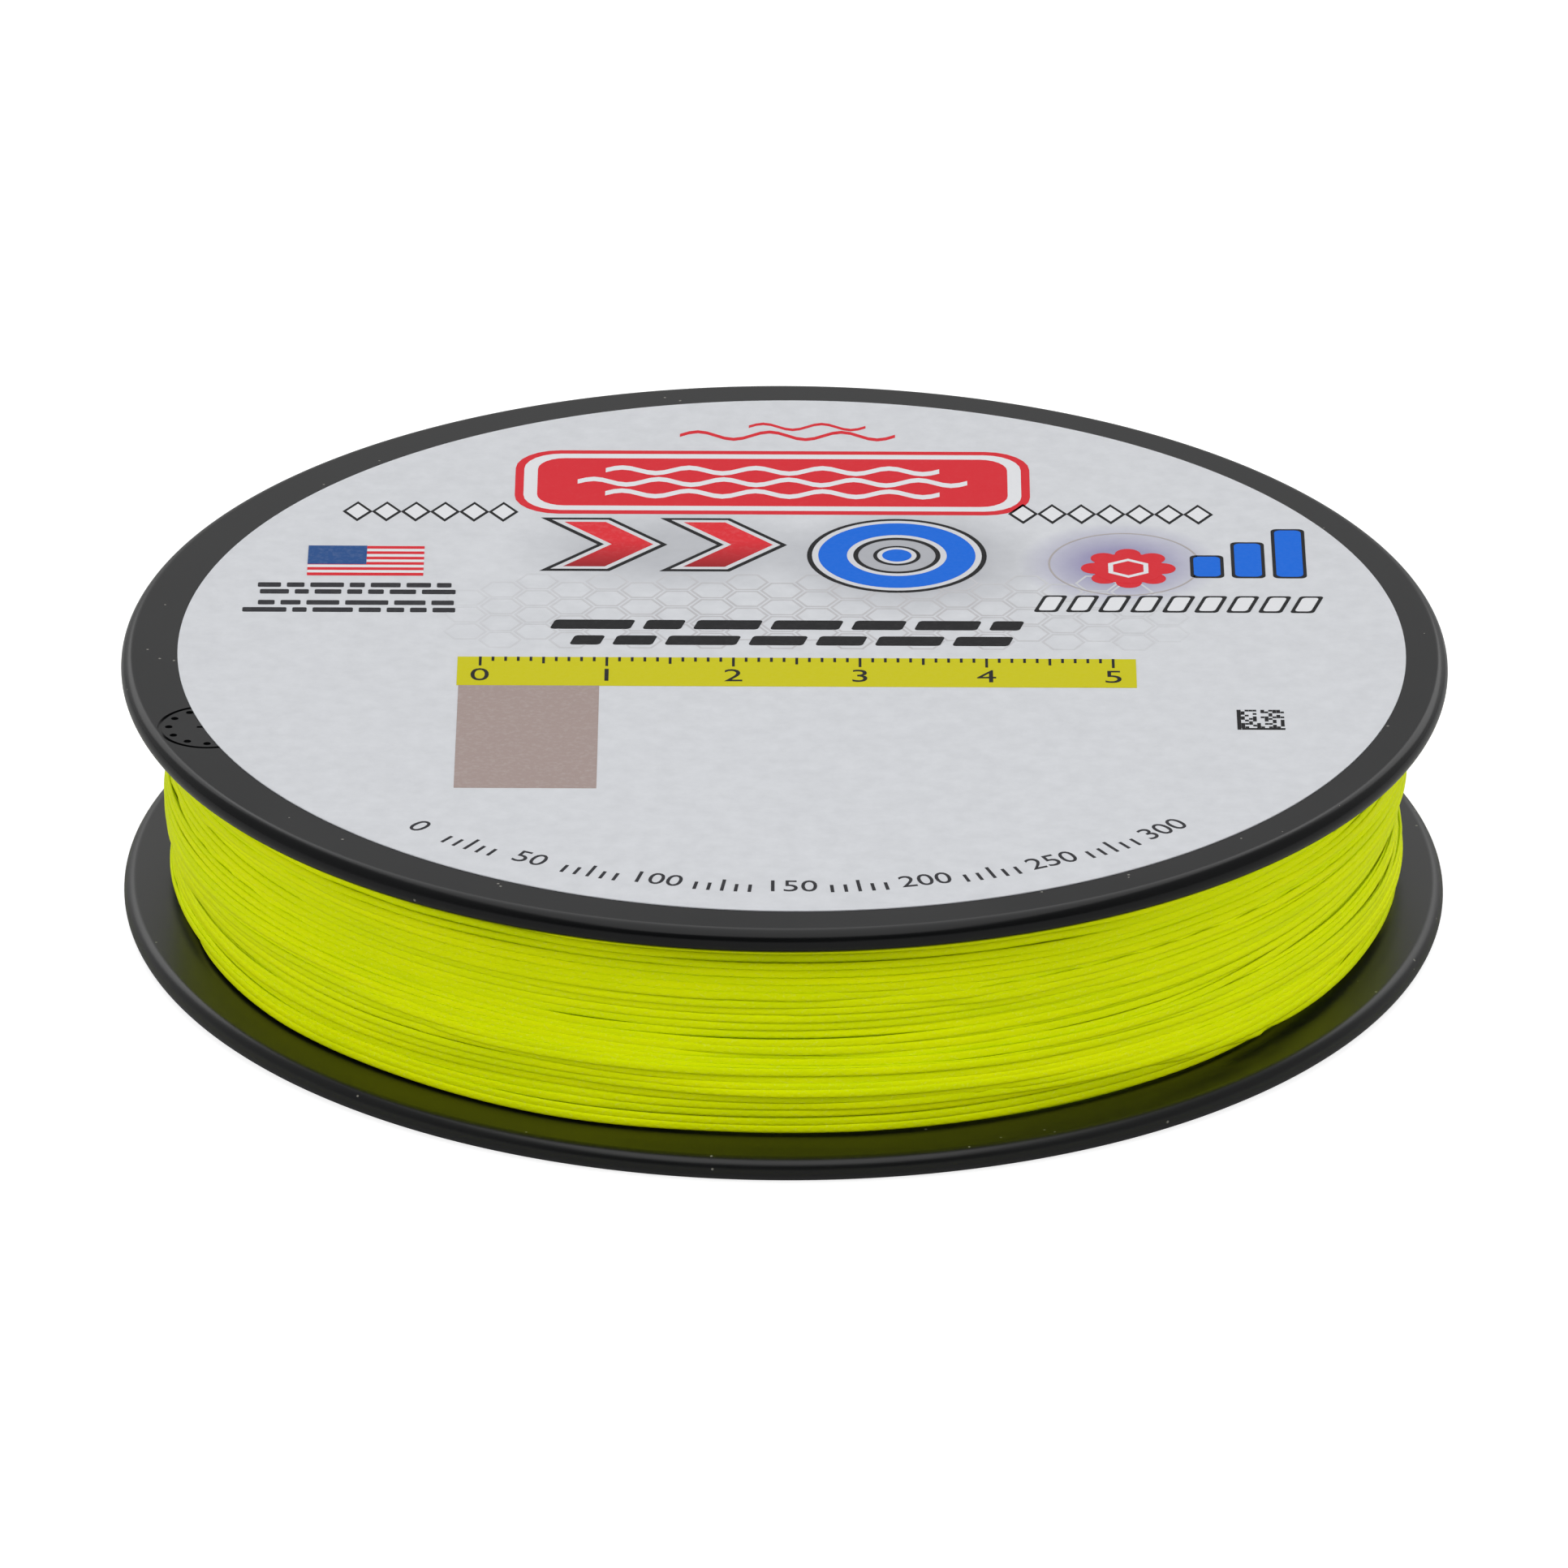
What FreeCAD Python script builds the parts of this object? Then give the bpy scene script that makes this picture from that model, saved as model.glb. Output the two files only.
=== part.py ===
import FreeCAD, Part
import math
import os
import Sketcher

# A filler spool for braided fishing line. Two black mouldings, each a flat flange with half of the
# hub, are pressed together: a spigot on the rear half's hub wall enters a socket in the front half's,
# the front half's centre tube has a nose that enters the rear tube, and three pins enter three bosses.
# The line is wound between the flanges over a strip of tape, and a round label covers the front face.
#
# Frame: the spool's axis is Z and it lies on its rear face, so the origin is the centre of that face.
# The front face, with the label, points up. Lengths are in millimetres.

doc = FreeCAD.newDocument("fishing_line_spool")

SIZES = [
    # alias, value, meaning
    ("spool_diameter", 105.0, "outside diameter of both flanges"),
    ("spool_width", 21.4, "from the rear face to the front face, without the label"),
    ("flange_thickness", 2.0, "each flange"),
    ("rim_rounding", 0.98, "radius of both corners of a flange's rim"),
    ("rim_flat", 0.02, "half of the land that is left between the two corners"),
    ("hub_diameter", 74.0, "outside diameter of the hub that the line is wound on"),
    ("hub_wall", 1.8, "wall of the hub"),
    ("bore_diameter", 8.0, "spindle bore on the axis"),
    ("tube_wall", 3.0, "wall of the centre tube around the bore"),
    ("bore_chamfer", 0.5, "lead-in at both ends of the bore"),
    ("spigot_height", 2.5, "how far the rear hub wall's spigot stands into the front half"),
    ("spigot_wall", 0.85, "thickness of the spigot"),
    ("press_clearance", 0.05, "radial room between spigot, nose or pin and its socket"),
    ("end_clearance", 0.2, "room beyond the end of the spigot, nose and pins"),
    ("nose_height", 2.0, "how far the front tube's nose stands into the rear tube"),
    ("nose_wall", 1.4, "wall of the nose around the bore"),
    ("recess_depth", 6.0, "from the rear face to the rear web, inside the hub"),
    ("recess_rounding", 0.6, "corner where the rear face turns into the hub's recess"),
    ("web_thickness", 1.4, "rear web, across the inside of the hub"),
    ("rib_count", 6, "ribs in the rear recess"),
    ("rib_thickness", 1.4, "each rib, front and rear"),
    ("rib_setback", 0.8, "how far the rear ribs stay below the rear face"),
    ("rib_root", 0.6, "how far a rib runs into the walls that it joins"),
    ("pin_count", 3, "press pins on the rear half, and their bosses on the front half"),
    ("pin_circle_diameter", 44.0, "circle through the pins"),
    ("pin_diameter", 4.0, "each press pin"),
    ("pin_engagement", 5.0, "length of a pin inside its boss"),
    ("boss_wall", 1.6, "wall of a boss around its pin"),
    ("ejector_mark_diameter", 5.0, "round witness marks of the mould's ejectors on the rear web"),
    ("ejector_mark_depth", 0.12, "depth of a witness mark"),
    ("ejector_mark_circle", 52.0, "diameter of the circle through the witness marks"),
    ("dial_inset", 4.85, "moulded date dial on the front face: from the rim to its centre"),
    ("dial_angle", 198.8, "degrees from +X to the dial's centre"),
    ("dial_radius", 4.0, "outer radius of the dial's ring"),
    ("dial_line", 0.3, "width of the dial's ring and of its ticks"),
    ("dial_depth", 0.15, "depth of the dial's lines"),
    ("dial_tick", 0.9, "length of a tick"),
    ("dial_tick_count", 12, "ticks inside the ring"),
    ("label_inset", 3.9, "from the rim to the edge of a label that is stuck on centrally"),
    ("label_thickness", 0.12, "paper, film and adhesive"),
    ("label_offset", 0.56, "how far the label was stuck on beside the axis, along X"),
    ("tape_thickness", 0.1, "strip that holds the start of the line on the hub"),
    ("tape_width", 12.0, "width of the strip, along the axis"),
    ("tape_sweep", 24.0, "degrees of the hub that the strip covers"),
    ("tape_clearance", 0.05, "room between the strip and the line over it"),
    ("layer_thickness", 1.2, "the outer layers of the line, at their thinnest"),
    ("line_inset_rear", 4.2, "from the rim in to the wound line, where it meets the rear flange"),
    ("line_inset_crown", 3.3, "from the rim in to the wound line, where it is fullest"),
    ("line_inset_front", 3.7, "from the rim in to the wound line, where it meets the front flange"),
    ("crown_height", 12.0, "from the rear face to where the wound line is fullest"),
]

sizes = doc.addObject("Spreadsheet::Sheet", "Sizes")
for row, (alias, value, meaning) in enumerate(SIZES, start=1):
    sizes.set(f"A{row}", alias)
    sizes.set(f"B{row}", str(value))
    sizes.setAlias(f"B{row}", alias)
    sizes.set(f"C{row}", meaning)
doc.recompute()

# Places and radii that follow from the sheet, as expressions.
PARTING = "Sizes.spool_width / 2"
FRONT_INSIDE = "Sizes.spool_width - Sizes.flange_thickness"
RIM_ROUNDING = "min(Sizes.rim_rounding; Sizes.flange_thickness / 2 - Sizes.rim_flat)"
RIM = "Sizes.spool_diameter / 2"
HUB = "Sizes.hub_diameter / 2"
HUB_INSIDE = "Sizes.hub_diameter / 2 - Sizes.hub_wall"
SPIGOT = HUB_INSIDE + " + Sizes.spigot_wall"
SOCKET = SPIGOT + " + Sizes.press_clearance"
BORE = "Sizes.bore_diameter / 2"
TUBE = "Sizes.bore_diameter / 2 + Sizes.tube_wall"
NOSE = "Sizes.bore_diameter / 2 + Sizes.nose_wall"
NOSE_SOCKET = NOSE + " + Sizes.press_clearance"
PIN = "Sizes.pin_diameter / 2"
PIN_SOCKET = "Sizes.pin_diameter / 2 + Sizes.press_clearance"
BOSS = PIN_SOCKET + " + Sizes.boss_wall"
PIN_CIRCLE = "Sizes.pin_circle_diameter / 2"
WEB_TOP = "Sizes.recess_depth + Sizes.web_thickness"
LINE_REAR = RIM + " - Sizes.line_inset_rear"
LINE_CROWN = RIM + " - Sizes.line_inset_crown"
LINE_FRONT = RIM + " - Sizes.line_inset_front"
CORE = RIM + " - max(Sizes.line_inset_rear; Sizes.line_inset_front) - Sizes.layer_thickness"
DIAL_CIRCLE = "(Sizes.spool_diameter / 2 - Sizes.dial_inset)"


def size(alias):
    """A driving dimension's value."""
    return float(sizes.get(alias))


def new_body(name):
    body = doc.addObject("PartDesign::Body", name)
    body.Label = name
    return body


def origin_part(body, role):
    return next(part for part in body.Origin.OriginFeatures if part.Role == role)


def new_sketch(body, name, plane="XY_Plane", height=None):
    """A sketch on one of the body's origin planes, lifted off it by an expression."""
    sketch = body.newObject("Sketcher::SketchObject", name)
    sketch.AttachmentSupport = [(origin_part(body, plane), "")]
    sketch.MapMode = "FlatFace"
    if height is not None:
        sketch.setExpression(".AttachmentOffset.Base.z", height)
    return sketch


def bind(sketch, name, constraint, expression):
    """Adds a named constraint and ties its value to the sheet."""
    index = sketch.addConstraint(constraint)
    sketch.renameConstraint(index, name)
    sketch.setExpression("Constraints." + name, expression)


def discs(body, name, height, radii, across=None, along="0"):
    """A sketch of circles with one centre: on the axis, or at across, along."""
    sketch = new_sketch(body, name, height=height)
    for number, radius in enumerate(radii):
        start = 1.0 + number
        circle = sketch.addGeometry(Part.Circle(FreeCAD.Vector(), FreeCAD.Vector(0, 0, 1), start))
        if number:
            sketch.addConstraint(Sketcher.Constraint("Coincident", circle, 3, 0, 3))
        elif across is None:
            sketch.addConstraint(Sketcher.Constraint("Coincident", circle, 3, -1, 1))
        else:
            bind(sketch, "across", Sketcher.Constraint("DistanceX", -1, 1, circle, 3, 1.0), across)
            bind(sketch, "along", Sketcher.Constraint("DistanceY", -1, 1, circle, 3, 0.5), along)
        bind(sketch, f"radius_{number}", Sketcher.Constraint("Radius", circle, start), radius)
    return sketch


def bar(body, name, height, inner, outer, width, along="0"):
    """A sketch of a bar that runs along X from inner to outer, centred on along."""
    sketch = new_sketch(body, name, height=height)
    corners = [FreeCAD.Vector(x, y, 0) for x, y in ((1, -1), (2, -1), (2, 1), (1, 1))]
    for number, corner in enumerate(corners):
        sketch.addGeometry(Part.LineSegment(corner, corners[(number + 1) % 4]))
    for number in range(4):
        sketch.addConstraint(Sketcher.Constraint("Coincident", number, 2, (number + 1) % 4, 1))
        level = "Horizontal" if number % 2 == 0 else "Vertical"
        sketch.addConstraint(Sketcher.Constraint(level, number))
    bind(sketch, "inner", Sketcher.Constraint("DistanceX", -1, 1, 0, 1, 1.0), inner)
    bind(sketch, "outer", Sketcher.Constraint("DistanceX", -1, 1, 0, 2, 2.0), outer)
    bind(sketch, "width", Sketcher.Constraint("DistanceY", 0, 2, 2, 1, 2.0), width)
    bind(sketch, "low_edge", Sketcher.Constraint("DistanceY", 0, 1, -1, 1, 1.0), f"({width}) / 2 - ({along})")
    return sketch


def keep(body, feature):
    """Recomputes, makes the feature the body's tip, and returns it."""
    body.Tip = feature
    doc.recompute()
    return feature


def add(body, name, sketch, length, reverse=False):
    pad = body.newObject("PartDesign::Pad", name)
    pad.Profile = sketch
    pad.Reversed = reverse
    pad.setExpression("Length", length)
    return keep(body, pad)


def cut(body, name, sketch, depth, upward=False):
    """A pocket that has to take material away."""
    before = body.Tip.Shape.Volume
    pocket = body.newObject("PartDesign::Pocket", name)
    pocket.Profile = sketch
    pocket.Reversed = upward
    pocket.setExpression("Length", depth)
    keep(body, pocket)
    if pocket.Shape.Volume >= before:
        raise RuntimeError(f"{body.Label}: {name} cuts nothing")
    return pocket


def around(body, name, feature, count):
    """Repeats a feature evenly around the axis."""
    pattern = body.newObject("PartDesign::PolarPattern", name)
    pattern.Originals = [feature]
    pattern.Axis = (origin_part(body, "Z_Axis"), [""])
    pattern.Angle = 360
    pattern.setExpression("Occurrences", count)
    return keep(body, pattern)


def round_edges(shape, radius, heights):
    """Names of the full circles about the axis that have this radius and lie at one of the heights."""
    names = []
    for number, edge in enumerate(shape.Edges, start=1):
        if not isinstance(edge.Curve, Part.Circle) or not edge.Closed:
            continue
        centre = edge.Curve.Center
        on_axis = math.hypot(centre.x, centre.y) < 1e-6
        at_height = any(abs(centre.z - height) < 1e-6 for height in heights)
        if on_axis and at_height and abs(edge.Curve.Radius - radius) < 1e-6:
            names.append(f"Edge{number}")
    if len(names) != len(heights):
        raise RuntimeError(f"expected {len(heights)} round edges of radius {radius}, found {len(names)}")
    return names


def soften(body, name, kind, radius, heights, amount):
    """A fillet or chamfer on round edges about the axis."""
    base = body.Tip
    edges = round_edges(base.Shape, radius, heights)
    feature = body.newObject("PartDesign::" + kind, name)
    feature.Base = (base, edges)
    feature.setExpression("Radius" if kind == "Fillet" else "Size", amount)
    keep(body, feature)
    if abs(feature.Shape.Volume - base.Shape.Volume) < 1e-6:
        raise RuntimeError(f"{body.Label}: {name} changes nothing")
    return feature


def make_rear_half():
    """Rear flange, with the hub wall and its spigot, the ribbed recess, the rear tube and the pins."""
    body = new_body("rear_half")
    thickness = size("flange_thickness")
    add(body, "rear_flange", discs(body, "rear_flange_outline", "0", [RIM]), "Sizes.flange_thickness")
    soften(body, "rear_rim", "Fillet", size("spool_diameter") / 2, [0, thickness], RIM_ROUNDING)
    hub_outline = discs(body, "rear_hub_outline", "Sizes.flange_thickness", [HUB])
    add(body, "rear_hub", hub_outline, PARTING + " - Sizes.flange_thickness")
    add(body, "spigot", discs(body, "spigot_outline", PARTING, [SPIGOT, HUB_INSIDE]), "Sizes.spigot_height")

    inside = discs(body, "rear_cavity_outline", PARTING, [HUB_INSIDE, TUBE])
    cut(body, "rear_cavity", inside, f"{PARTING} - ({WEB_TOP})")
    recess = discs(body, "recess_outline", "0", [HUB_INSIDE, TUBE])
    cut(body, "recess", recess, "Sizes.recess_depth", upward=True)
    inner_radius = size("hub_diameter") / 2 - size("hub_wall")
    soften(body, "recess_corner", "Fillet", inner_radius, [0], "Sizes.recess_rounding")

    cut(body, "rear_bore", discs(body, "rear_bore_outline", "0", [BORE]), PARTING, upward=True)
    nose_socket = discs(body, "nose_socket_outline", PARTING, [NOSE_SOCKET])
    cut(body, "nose_socket", nose_socket, "Sizes.nose_height + Sizes.end_clearance")
    soften(body, "rear_lead_in", "Chamfer", size("bore_diameter") / 2, [0], "Sizes.bore_chamfer")

    rib_outline = bar(body, "rear_rib_outline", "Sizes.rib_setback", TUBE + " - Sizes.rib_root",
                      HUB_INSIDE + " + Sizes.rib_root", "Sizes.rib_thickness")
    rib = add(body, "rear_rib", rib_outline, "Sizes.recess_depth - Sizes.rib_setback")
    around(body, "rear_ribs", rib, "Sizes.rib_count")

    pin = add(body, "pin", discs(body, "pin_outline", WEB_TOP, [PIN], PIN_CIRCLE),
              f"{PARTING} + Sizes.pin_engagement - ({WEB_TOP})")
    around(body, "pins", pin, "Sizes.pin_count")

    # The marks lie between the ribs, half a rib's spacing round from the first one.
    spacing = "180 / Sizes.rib_count"
    mark_outline = discs(body, "ejector_mark_outline", "Sizes.recess_depth",
                         ["Sizes.ejector_mark_diameter / 2"],
                         f"Sizes.ejector_mark_circle / 2 * cos({spacing})",
                         f"Sizes.ejector_mark_circle / 2 * sin({spacing})")
    mark = cut(body, "ejector_mark", mark_outline, "Sizes.ejector_mark_depth", upward=True)
    around(body, "ejector_marks", mark, "Sizes.rib_count")
    return body


def make_front_half():
    """Front flange, with the hub wall and its socket, the front tube and its nose, and the bosses."""
    body = new_body("front_half")
    width = size("spool_width")
    thickness = size("flange_thickness")
    outline = discs(body, "front_flange_outline", FRONT_INSIDE, [RIM])
    add(body, "front_flange", outline, "Sizes.flange_thickness")
    soften(body, "front_rim", "Fillet", size("spool_diameter") / 2, [width - thickness, width], RIM_ROUNDING)
    front_length = f"{FRONT_INSIDE} - ({PARTING})"
    hub_wall = discs(body, "front_hub_outline", PARTING, [HUB, HUB_INSIDE])
    add(body, "front_hub", hub_wall, front_length)
    add(body, "front_tube", discs(body, "front_tube_outline", PARTING, [TUBE]), front_length)
    nose = discs(body, "nose_outline", PARTING, [NOSE])
    add(body, "nose", nose, "Sizes.nose_height", reverse=True)
    socket = discs(body, "socket_outline", PARTING, [SOCKET, TUBE])
    cut(body, "socket", socket, "Sizes.spigot_height + Sizes.end_clearance", upward=True)

    boss = add(body, "boss", discs(body, "boss_outline", PARTING, [BOSS], PIN_CIRCLE), front_length)
    around(body, "bosses", boss, "Sizes.pin_count")
    rib_base = f"{PARTING} + Sizes.spigot_height + Sizes.end_clearance"
    rib_outline = bar(body, "front_rib_outline", rib_base, TUBE + " - Sizes.rib_root",
                      HUB_INSIDE + " + Sizes.rib_root", "Sizes.rib_thickness")
    rib = add(body, "front_rib", rib_outline, f"{FRONT_INSIDE} - ({rib_base})")
    around(body, "front_ribs", rib, "Sizes.pin_count")
    pin_socket = cut(body, "pin_socket", discs(body, "pin_socket_outline", PARTING, [PIN_SOCKET], PIN_CIRCLE),
                     "Sizes.pin_engagement + Sizes.end_clearance", upward=True)
    around(body, "pin_sockets", pin_socket, "Sizes.pin_count")

    bore = discs(body, "front_bore_outline", "Sizes.spool_width", [BORE])
    cut(body, "front_bore", bore, f"Sizes.spool_width - ({PARTING}) + Sizes.nose_height")
    soften(body, "front_lead_in", "Chamfer", size("bore_diameter") / 2, [width], "Sizes.bore_chamfer")
    add_date_dial(body)
    return body


def add_date_dial(body):
    """The mould's date dial in the front face: a ring, ticks inside it and a bar as its pointer."""
    across = f"{DIAL_CIRCLE} * cos(Sizes.dial_angle)"
    along = f"{DIAL_CIRCLE} * sin(Sizes.dial_angle)"
    ring = discs(body, "dial_ring_outline", "Sizes.spool_width",
                 ["Sizes.dial_radius", "Sizes.dial_radius - Sizes.dial_line"], across, along)
    cut(body, "dial_ring", ring, "Sizes.dial_depth")
    pointer = bar(body, "dial_pointer_outline", "Sizes.spool_width", f"{across} - Sizes.dial_tick",
                  f"{across} + Sizes.dial_tick", "Sizes.dial_line", along)
    cut(body, "dial_pointer", pointer, "Sizes.dial_depth")
    for number in range(int(size("dial_tick_count"))):
        angle = f"(360 * {number} / Sizes.dial_tick_count)"
        reach = "(Sizes.dial_radius - Sizes.dial_tick)"
        tick = discs(body, f"dial_tick_{number}_outline", "Sizes.spool_width", ["Sizes.dial_line"],
                     f"{across} + {reach} * cos({angle})", f"{along} + {reach} * sin({angle})")
        cut(body, f"dial_tick_{number}", tick, "Sizes.dial_depth")


def make_front_label():
    """The round label, stuck on a little to one side. It closes the front end of the bore."""
    body = new_body("front_label")
    radius = RIM + " - Sizes.label_inset"
    outline = discs(body, "label_outline", "Sizes.spool_width", [radius], "Sizes.label_offset")
    add(body, "label_sheet", outline, "Sizes.label_thickness")
    return body


def ring_sector(name, inner, outer, base, height, sweep=None):
    """A ring about the axis, or the part of one that is centred on +Y, as a cut of two cylinders."""
    solid = doc.addObject("Part::Cylinder", name + "_outside")
    hole = doc.addObject("Part::Cylinder", name + "_inside")
    solid.setExpression("Radius", outer)
    hole.setExpression("Radius", inner)
    for cylinder in (solid, hole):
        cylinder.setExpression("Height", height)
        cylinder.setExpression(".Placement.Base.z", base)
    if sweep is not None:
        solid.setExpression("Angle", sweep)
        solid.setExpression(".Placement.Rotation.Angle", f"90 - ({sweep}) / 2")
    ring = doc.addObject("Part::Cut", name)
    ring.Base = solid
    ring.Tool = hole
    ring.Label = name
    return ring


def make_start_tape():
    """The strip of tape on the hub wall, half-way between the flanges."""
    return ring_sector("start_tape", HUB, f"{HUB} + Sizes.tape_thickness",
                       "(Sizes.spool_width - Sizes.tape_width) / 2", "Sizes.tape_width", "Sizes.tape_sweep")


def make_inner_layers():
    """The line's inner layers, from the hub outwards, with room for the tape under them."""
    winding = ring_sector("wound_core", HUB, CORE, "Sizes.flange_thickness",
                          "Sizes.spool_width - 2 * Sizes.flange_thickness")
    # The room's ends stand off the strip by the clearance too, as an angle at the hub wall.
    end_room = "2 * 180 / pi * Sizes.tape_clearance / (Sizes.hub_diameter / 2)"
    room = ring_sector("tape_room", f"{HUB} - Sizes.tape_clearance",
                       f"{HUB} + Sizes.tape_thickness + Sizes.tape_clearance",
                       "(Sizes.spool_width - Sizes.tape_width) / 2 - Sizes.tape_clearance",
                       "Sizes.tape_width + 2 * Sizes.tape_clearance", f"Sizes.tape_sweep + {end_room}")
    layers = doc.addObject("Part::Cut", "line_inner_layers")
    layers.Base = winding
    layers.Tool = room
    layers.Label = "line_inner_layers"
    return layers


def make_outer_layer():
    """The line's outer layers: straight inside, and crowned outside, because the winding is fullest there."""
    body = new_body("line_outer_layer")
    sketch = new_sketch(body, "layer_section", "XZ_Plane")
    rim = size("spool_diameter") / 2
    core = rim - max(size("line_inset_rear"), size("line_inset_front")) - size("layer_thickness")
    base = size("flange_thickness")
    top = size("spool_width") - base
    inner_rear = FreeCAD.Vector(core, base, 0)
    outer_rear = FreeCAD.Vector(rim - size("line_inset_rear"), base, 0)
    crown = FreeCAD.Vector(rim - size("line_inset_crown"), size("crown_height"), 0)
    outer_front = FreeCAD.Vector(rim - size("line_inset_front"), top, 0)
    inner_front = FreeCAD.Vector(core, top, 0)
    rear = sketch.addGeometry(Part.LineSegment(inner_rear, outer_rear))
    front = sketch.addGeometry(Part.LineSegment(outer_front, inner_front))
    inside = sketch.addGeometry(Part.LineSegment(inner_front, inner_rear))
    outside = sketch.addGeometry(Part.Arc(outer_rear, crown, outer_front))
    mark = sketch.addGeometry(Part.Point(crown), True)
    sketch.addConstraint(Sketcher.Constraint("Horizontal", rear))
    sketch.addConstraint(Sketcher.Constraint("Horizontal", front))
    sketch.addConstraint(Sketcher.Constraint("Vertical", inside))
    sketch.addConstraint(Sketcher.Constraint("Coincident", front, 2, inside, 1))
    sketch.addConstraint(Sketcher.Constraint("Coincident", inside, 2, rear, 1))
    sketch.addConstraint(Sketcher.Constraint("Coincident", rear, 2, outside, 1))
    sketch.addConstraint(Sketcher.Constraint("Coincident", outside, 2, front, 1))
    sketch.addConstraint(Sketcher.Constraint("PointOnObject", mark, 1, outside))

    def place(name, geometry, point, position, across, height):
        across_axis = Sketcher.Constraint("DistanceX", -1, 1, geometry, point, position.x)
        bind(sketch, name + "_radius", across_axis, across)
        if height is not None:
            along_axis = Sketcher.Constraint("DistanceY", -1, 1, geometry, point, position.y)
            bind(sketch, name + "_height", along_axis, height)

    place("core", rear, 1, inner_rear, CORE, "Sizes.flange_thickness")
    place("rear", rear, 2, outer_rear, LINE_REAR, None)
    place("crown", mark, 1, crown, LINE_CROWN, "Sizes.crown_height")
    place("front", front, 1, outer_front, LINE_FRONT, FRONT_INSIDE)
    layer = body.newObject("PartDesign::Revolution", "layer_ring")
    layer.Profile = sketch
    layer.ReferenceAxis = (origin_part(body, "Z_Axis"), [""])
    layer.Angle = 360
    keep(body, layer)
    return body


nodes = [
    make_rear_half(),
    make_front_half(),
    make_front_label(),
    make_start_tape(),
    make_inner_layers(),
    make_outer_layer(),
]

doc.recompute()
for item in doc.Objects:
    if "Invalid" in item.State or "Error" in item.State:
        raise RuntimeError(f"{item.Label} failed: {item.State}")
for node in nodes:
    shape = node.Shape
    if shape.isNull() or not shape.isValid() or not shape.Solids:
        raise RuntimeError(f"{node.Label} has no valid solid")

os.makedirs("parts", exist_ok=True)
for node in nodes:
    node.Shape.exportStep(f"parts/{node.Label}.step")
    box = node.Shape.optimalBoundingBox()
    print(f"{node.Label}: {len(node.Shape.Solids)} solid, {node.Shape.Volume:.1f} mm3, "
          f"z {box.ZMin:.2f} to {box.ZMax:.2f}, radius to {box.XMax:.2f}")
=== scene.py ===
import math
import random

import bmesh
import bpy
from mathutils import Matrix, Quaternion, Vector


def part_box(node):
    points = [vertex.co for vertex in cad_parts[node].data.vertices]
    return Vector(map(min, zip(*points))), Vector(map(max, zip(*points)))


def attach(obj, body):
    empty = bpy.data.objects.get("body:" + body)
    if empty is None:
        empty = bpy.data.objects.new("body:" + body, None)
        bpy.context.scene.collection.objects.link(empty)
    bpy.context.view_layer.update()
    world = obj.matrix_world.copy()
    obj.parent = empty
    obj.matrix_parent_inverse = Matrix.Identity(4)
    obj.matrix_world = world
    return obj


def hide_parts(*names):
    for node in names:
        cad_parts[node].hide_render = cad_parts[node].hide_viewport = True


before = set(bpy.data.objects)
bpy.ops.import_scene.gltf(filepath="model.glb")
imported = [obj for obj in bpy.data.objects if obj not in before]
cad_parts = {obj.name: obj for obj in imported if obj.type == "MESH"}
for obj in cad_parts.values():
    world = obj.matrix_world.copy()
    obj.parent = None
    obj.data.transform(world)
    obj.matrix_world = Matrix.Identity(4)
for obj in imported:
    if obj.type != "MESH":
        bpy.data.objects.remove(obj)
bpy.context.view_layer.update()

# A filler spool of braided fishing line, lying on its rear face. Lengths are written in millimetres
# and turned to metres with MM. The spool's axis is Z.
MM = 0.001
BODY = "root"

# ---------------------------------------------------------------------------------------------------
# The frame's own sizes

line_low, line_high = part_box("line_outer_layer")
label_low, label_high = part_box("front_label")
flange_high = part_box("front_half")[1]

RIM_RADIUS = flange_high.x
LINE_BOTTOM = line_low.z
LINE_TOP = line_high.z
LINE_CROWN = line_high.x
LABEL_CENTRE = Vector(((label_low.x + label_high.x) / 2, (label_low.y + label_high.y) / 2, 0))
LABEL_RADIUS = (label_high.x - label_low.x) / 2
LABEL_BACK = label_low.z
LABEL_TOP = label_high.z

# ---------------------------------------------------------------------------------------------------
# Camera: a long lens, nearly level with the front, 25 degrees above the table

CAMERA_DISTANCE = 1336.9 * MM
CAMERA_ELEVATION = math.radians(24.987)
CAMERA_ROLL = 0.00403
CAMERA_TARGET = Vector((0, 0, 9.517 * MM))
CAMERA_LENS = 386.33


def make_camera():
    """The camera looks at the middle of the spool, from the front and a little above."""
    camera = bpy.data.objects.new("camera", bpy.data.cameras.new("camera"))
    bpy.context.scene.collection.objects.link(camera)
    back = Vector((0, -math.cos(CAMERA_ELEVATION), math.sin(CAMERA_ELEVATION)))
    camera.location = CAMERA_TARGET + back * CAMERA_DISTANCE
    camera.rotation_mode = "QUATERNION"
    camera.rotation_quaternion = (-back).to_track_quat("-Z", "Y") @ Quaternion((0, 0, 1), CAMERA_ROLL)
    camera.data.sensor_width = 36
    camera.data.lens = CAMERA_LENS
    camera.data.clip_start = 0.05
    camera.data.clip_end = 50
    bpy.context.scene.camera = camera


# ---------------------------------------------------------------------------------------------------
# Materials


def colour(code):
    """An sRGB hex colour as linear RGBA."""
    linear = []
    for start in (1, 3, 5):
        part = int(code[start:start + 2], 16) / 255
        linear.append(part / 12.92 if part <= 0.04045 else ((part + 0.055) / 1.055) ** 2.4)
    return (*linear, 1.0)


def fill(tree, made, inputs):
    """Fills or links a node's inputs. A node given as an input is linked by its first output in use."""
    for socket, value in inputs.items():
        if isinstance(value, bpy.types.Node):
            value = next(output for output in value.outputs if output.enabled)
        if isinstance(value, bpy.types.NodeSocket):
            tree.links.new(value, made.inputs[socket])
        else:
            made.inputs[socket].default_value = value


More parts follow.
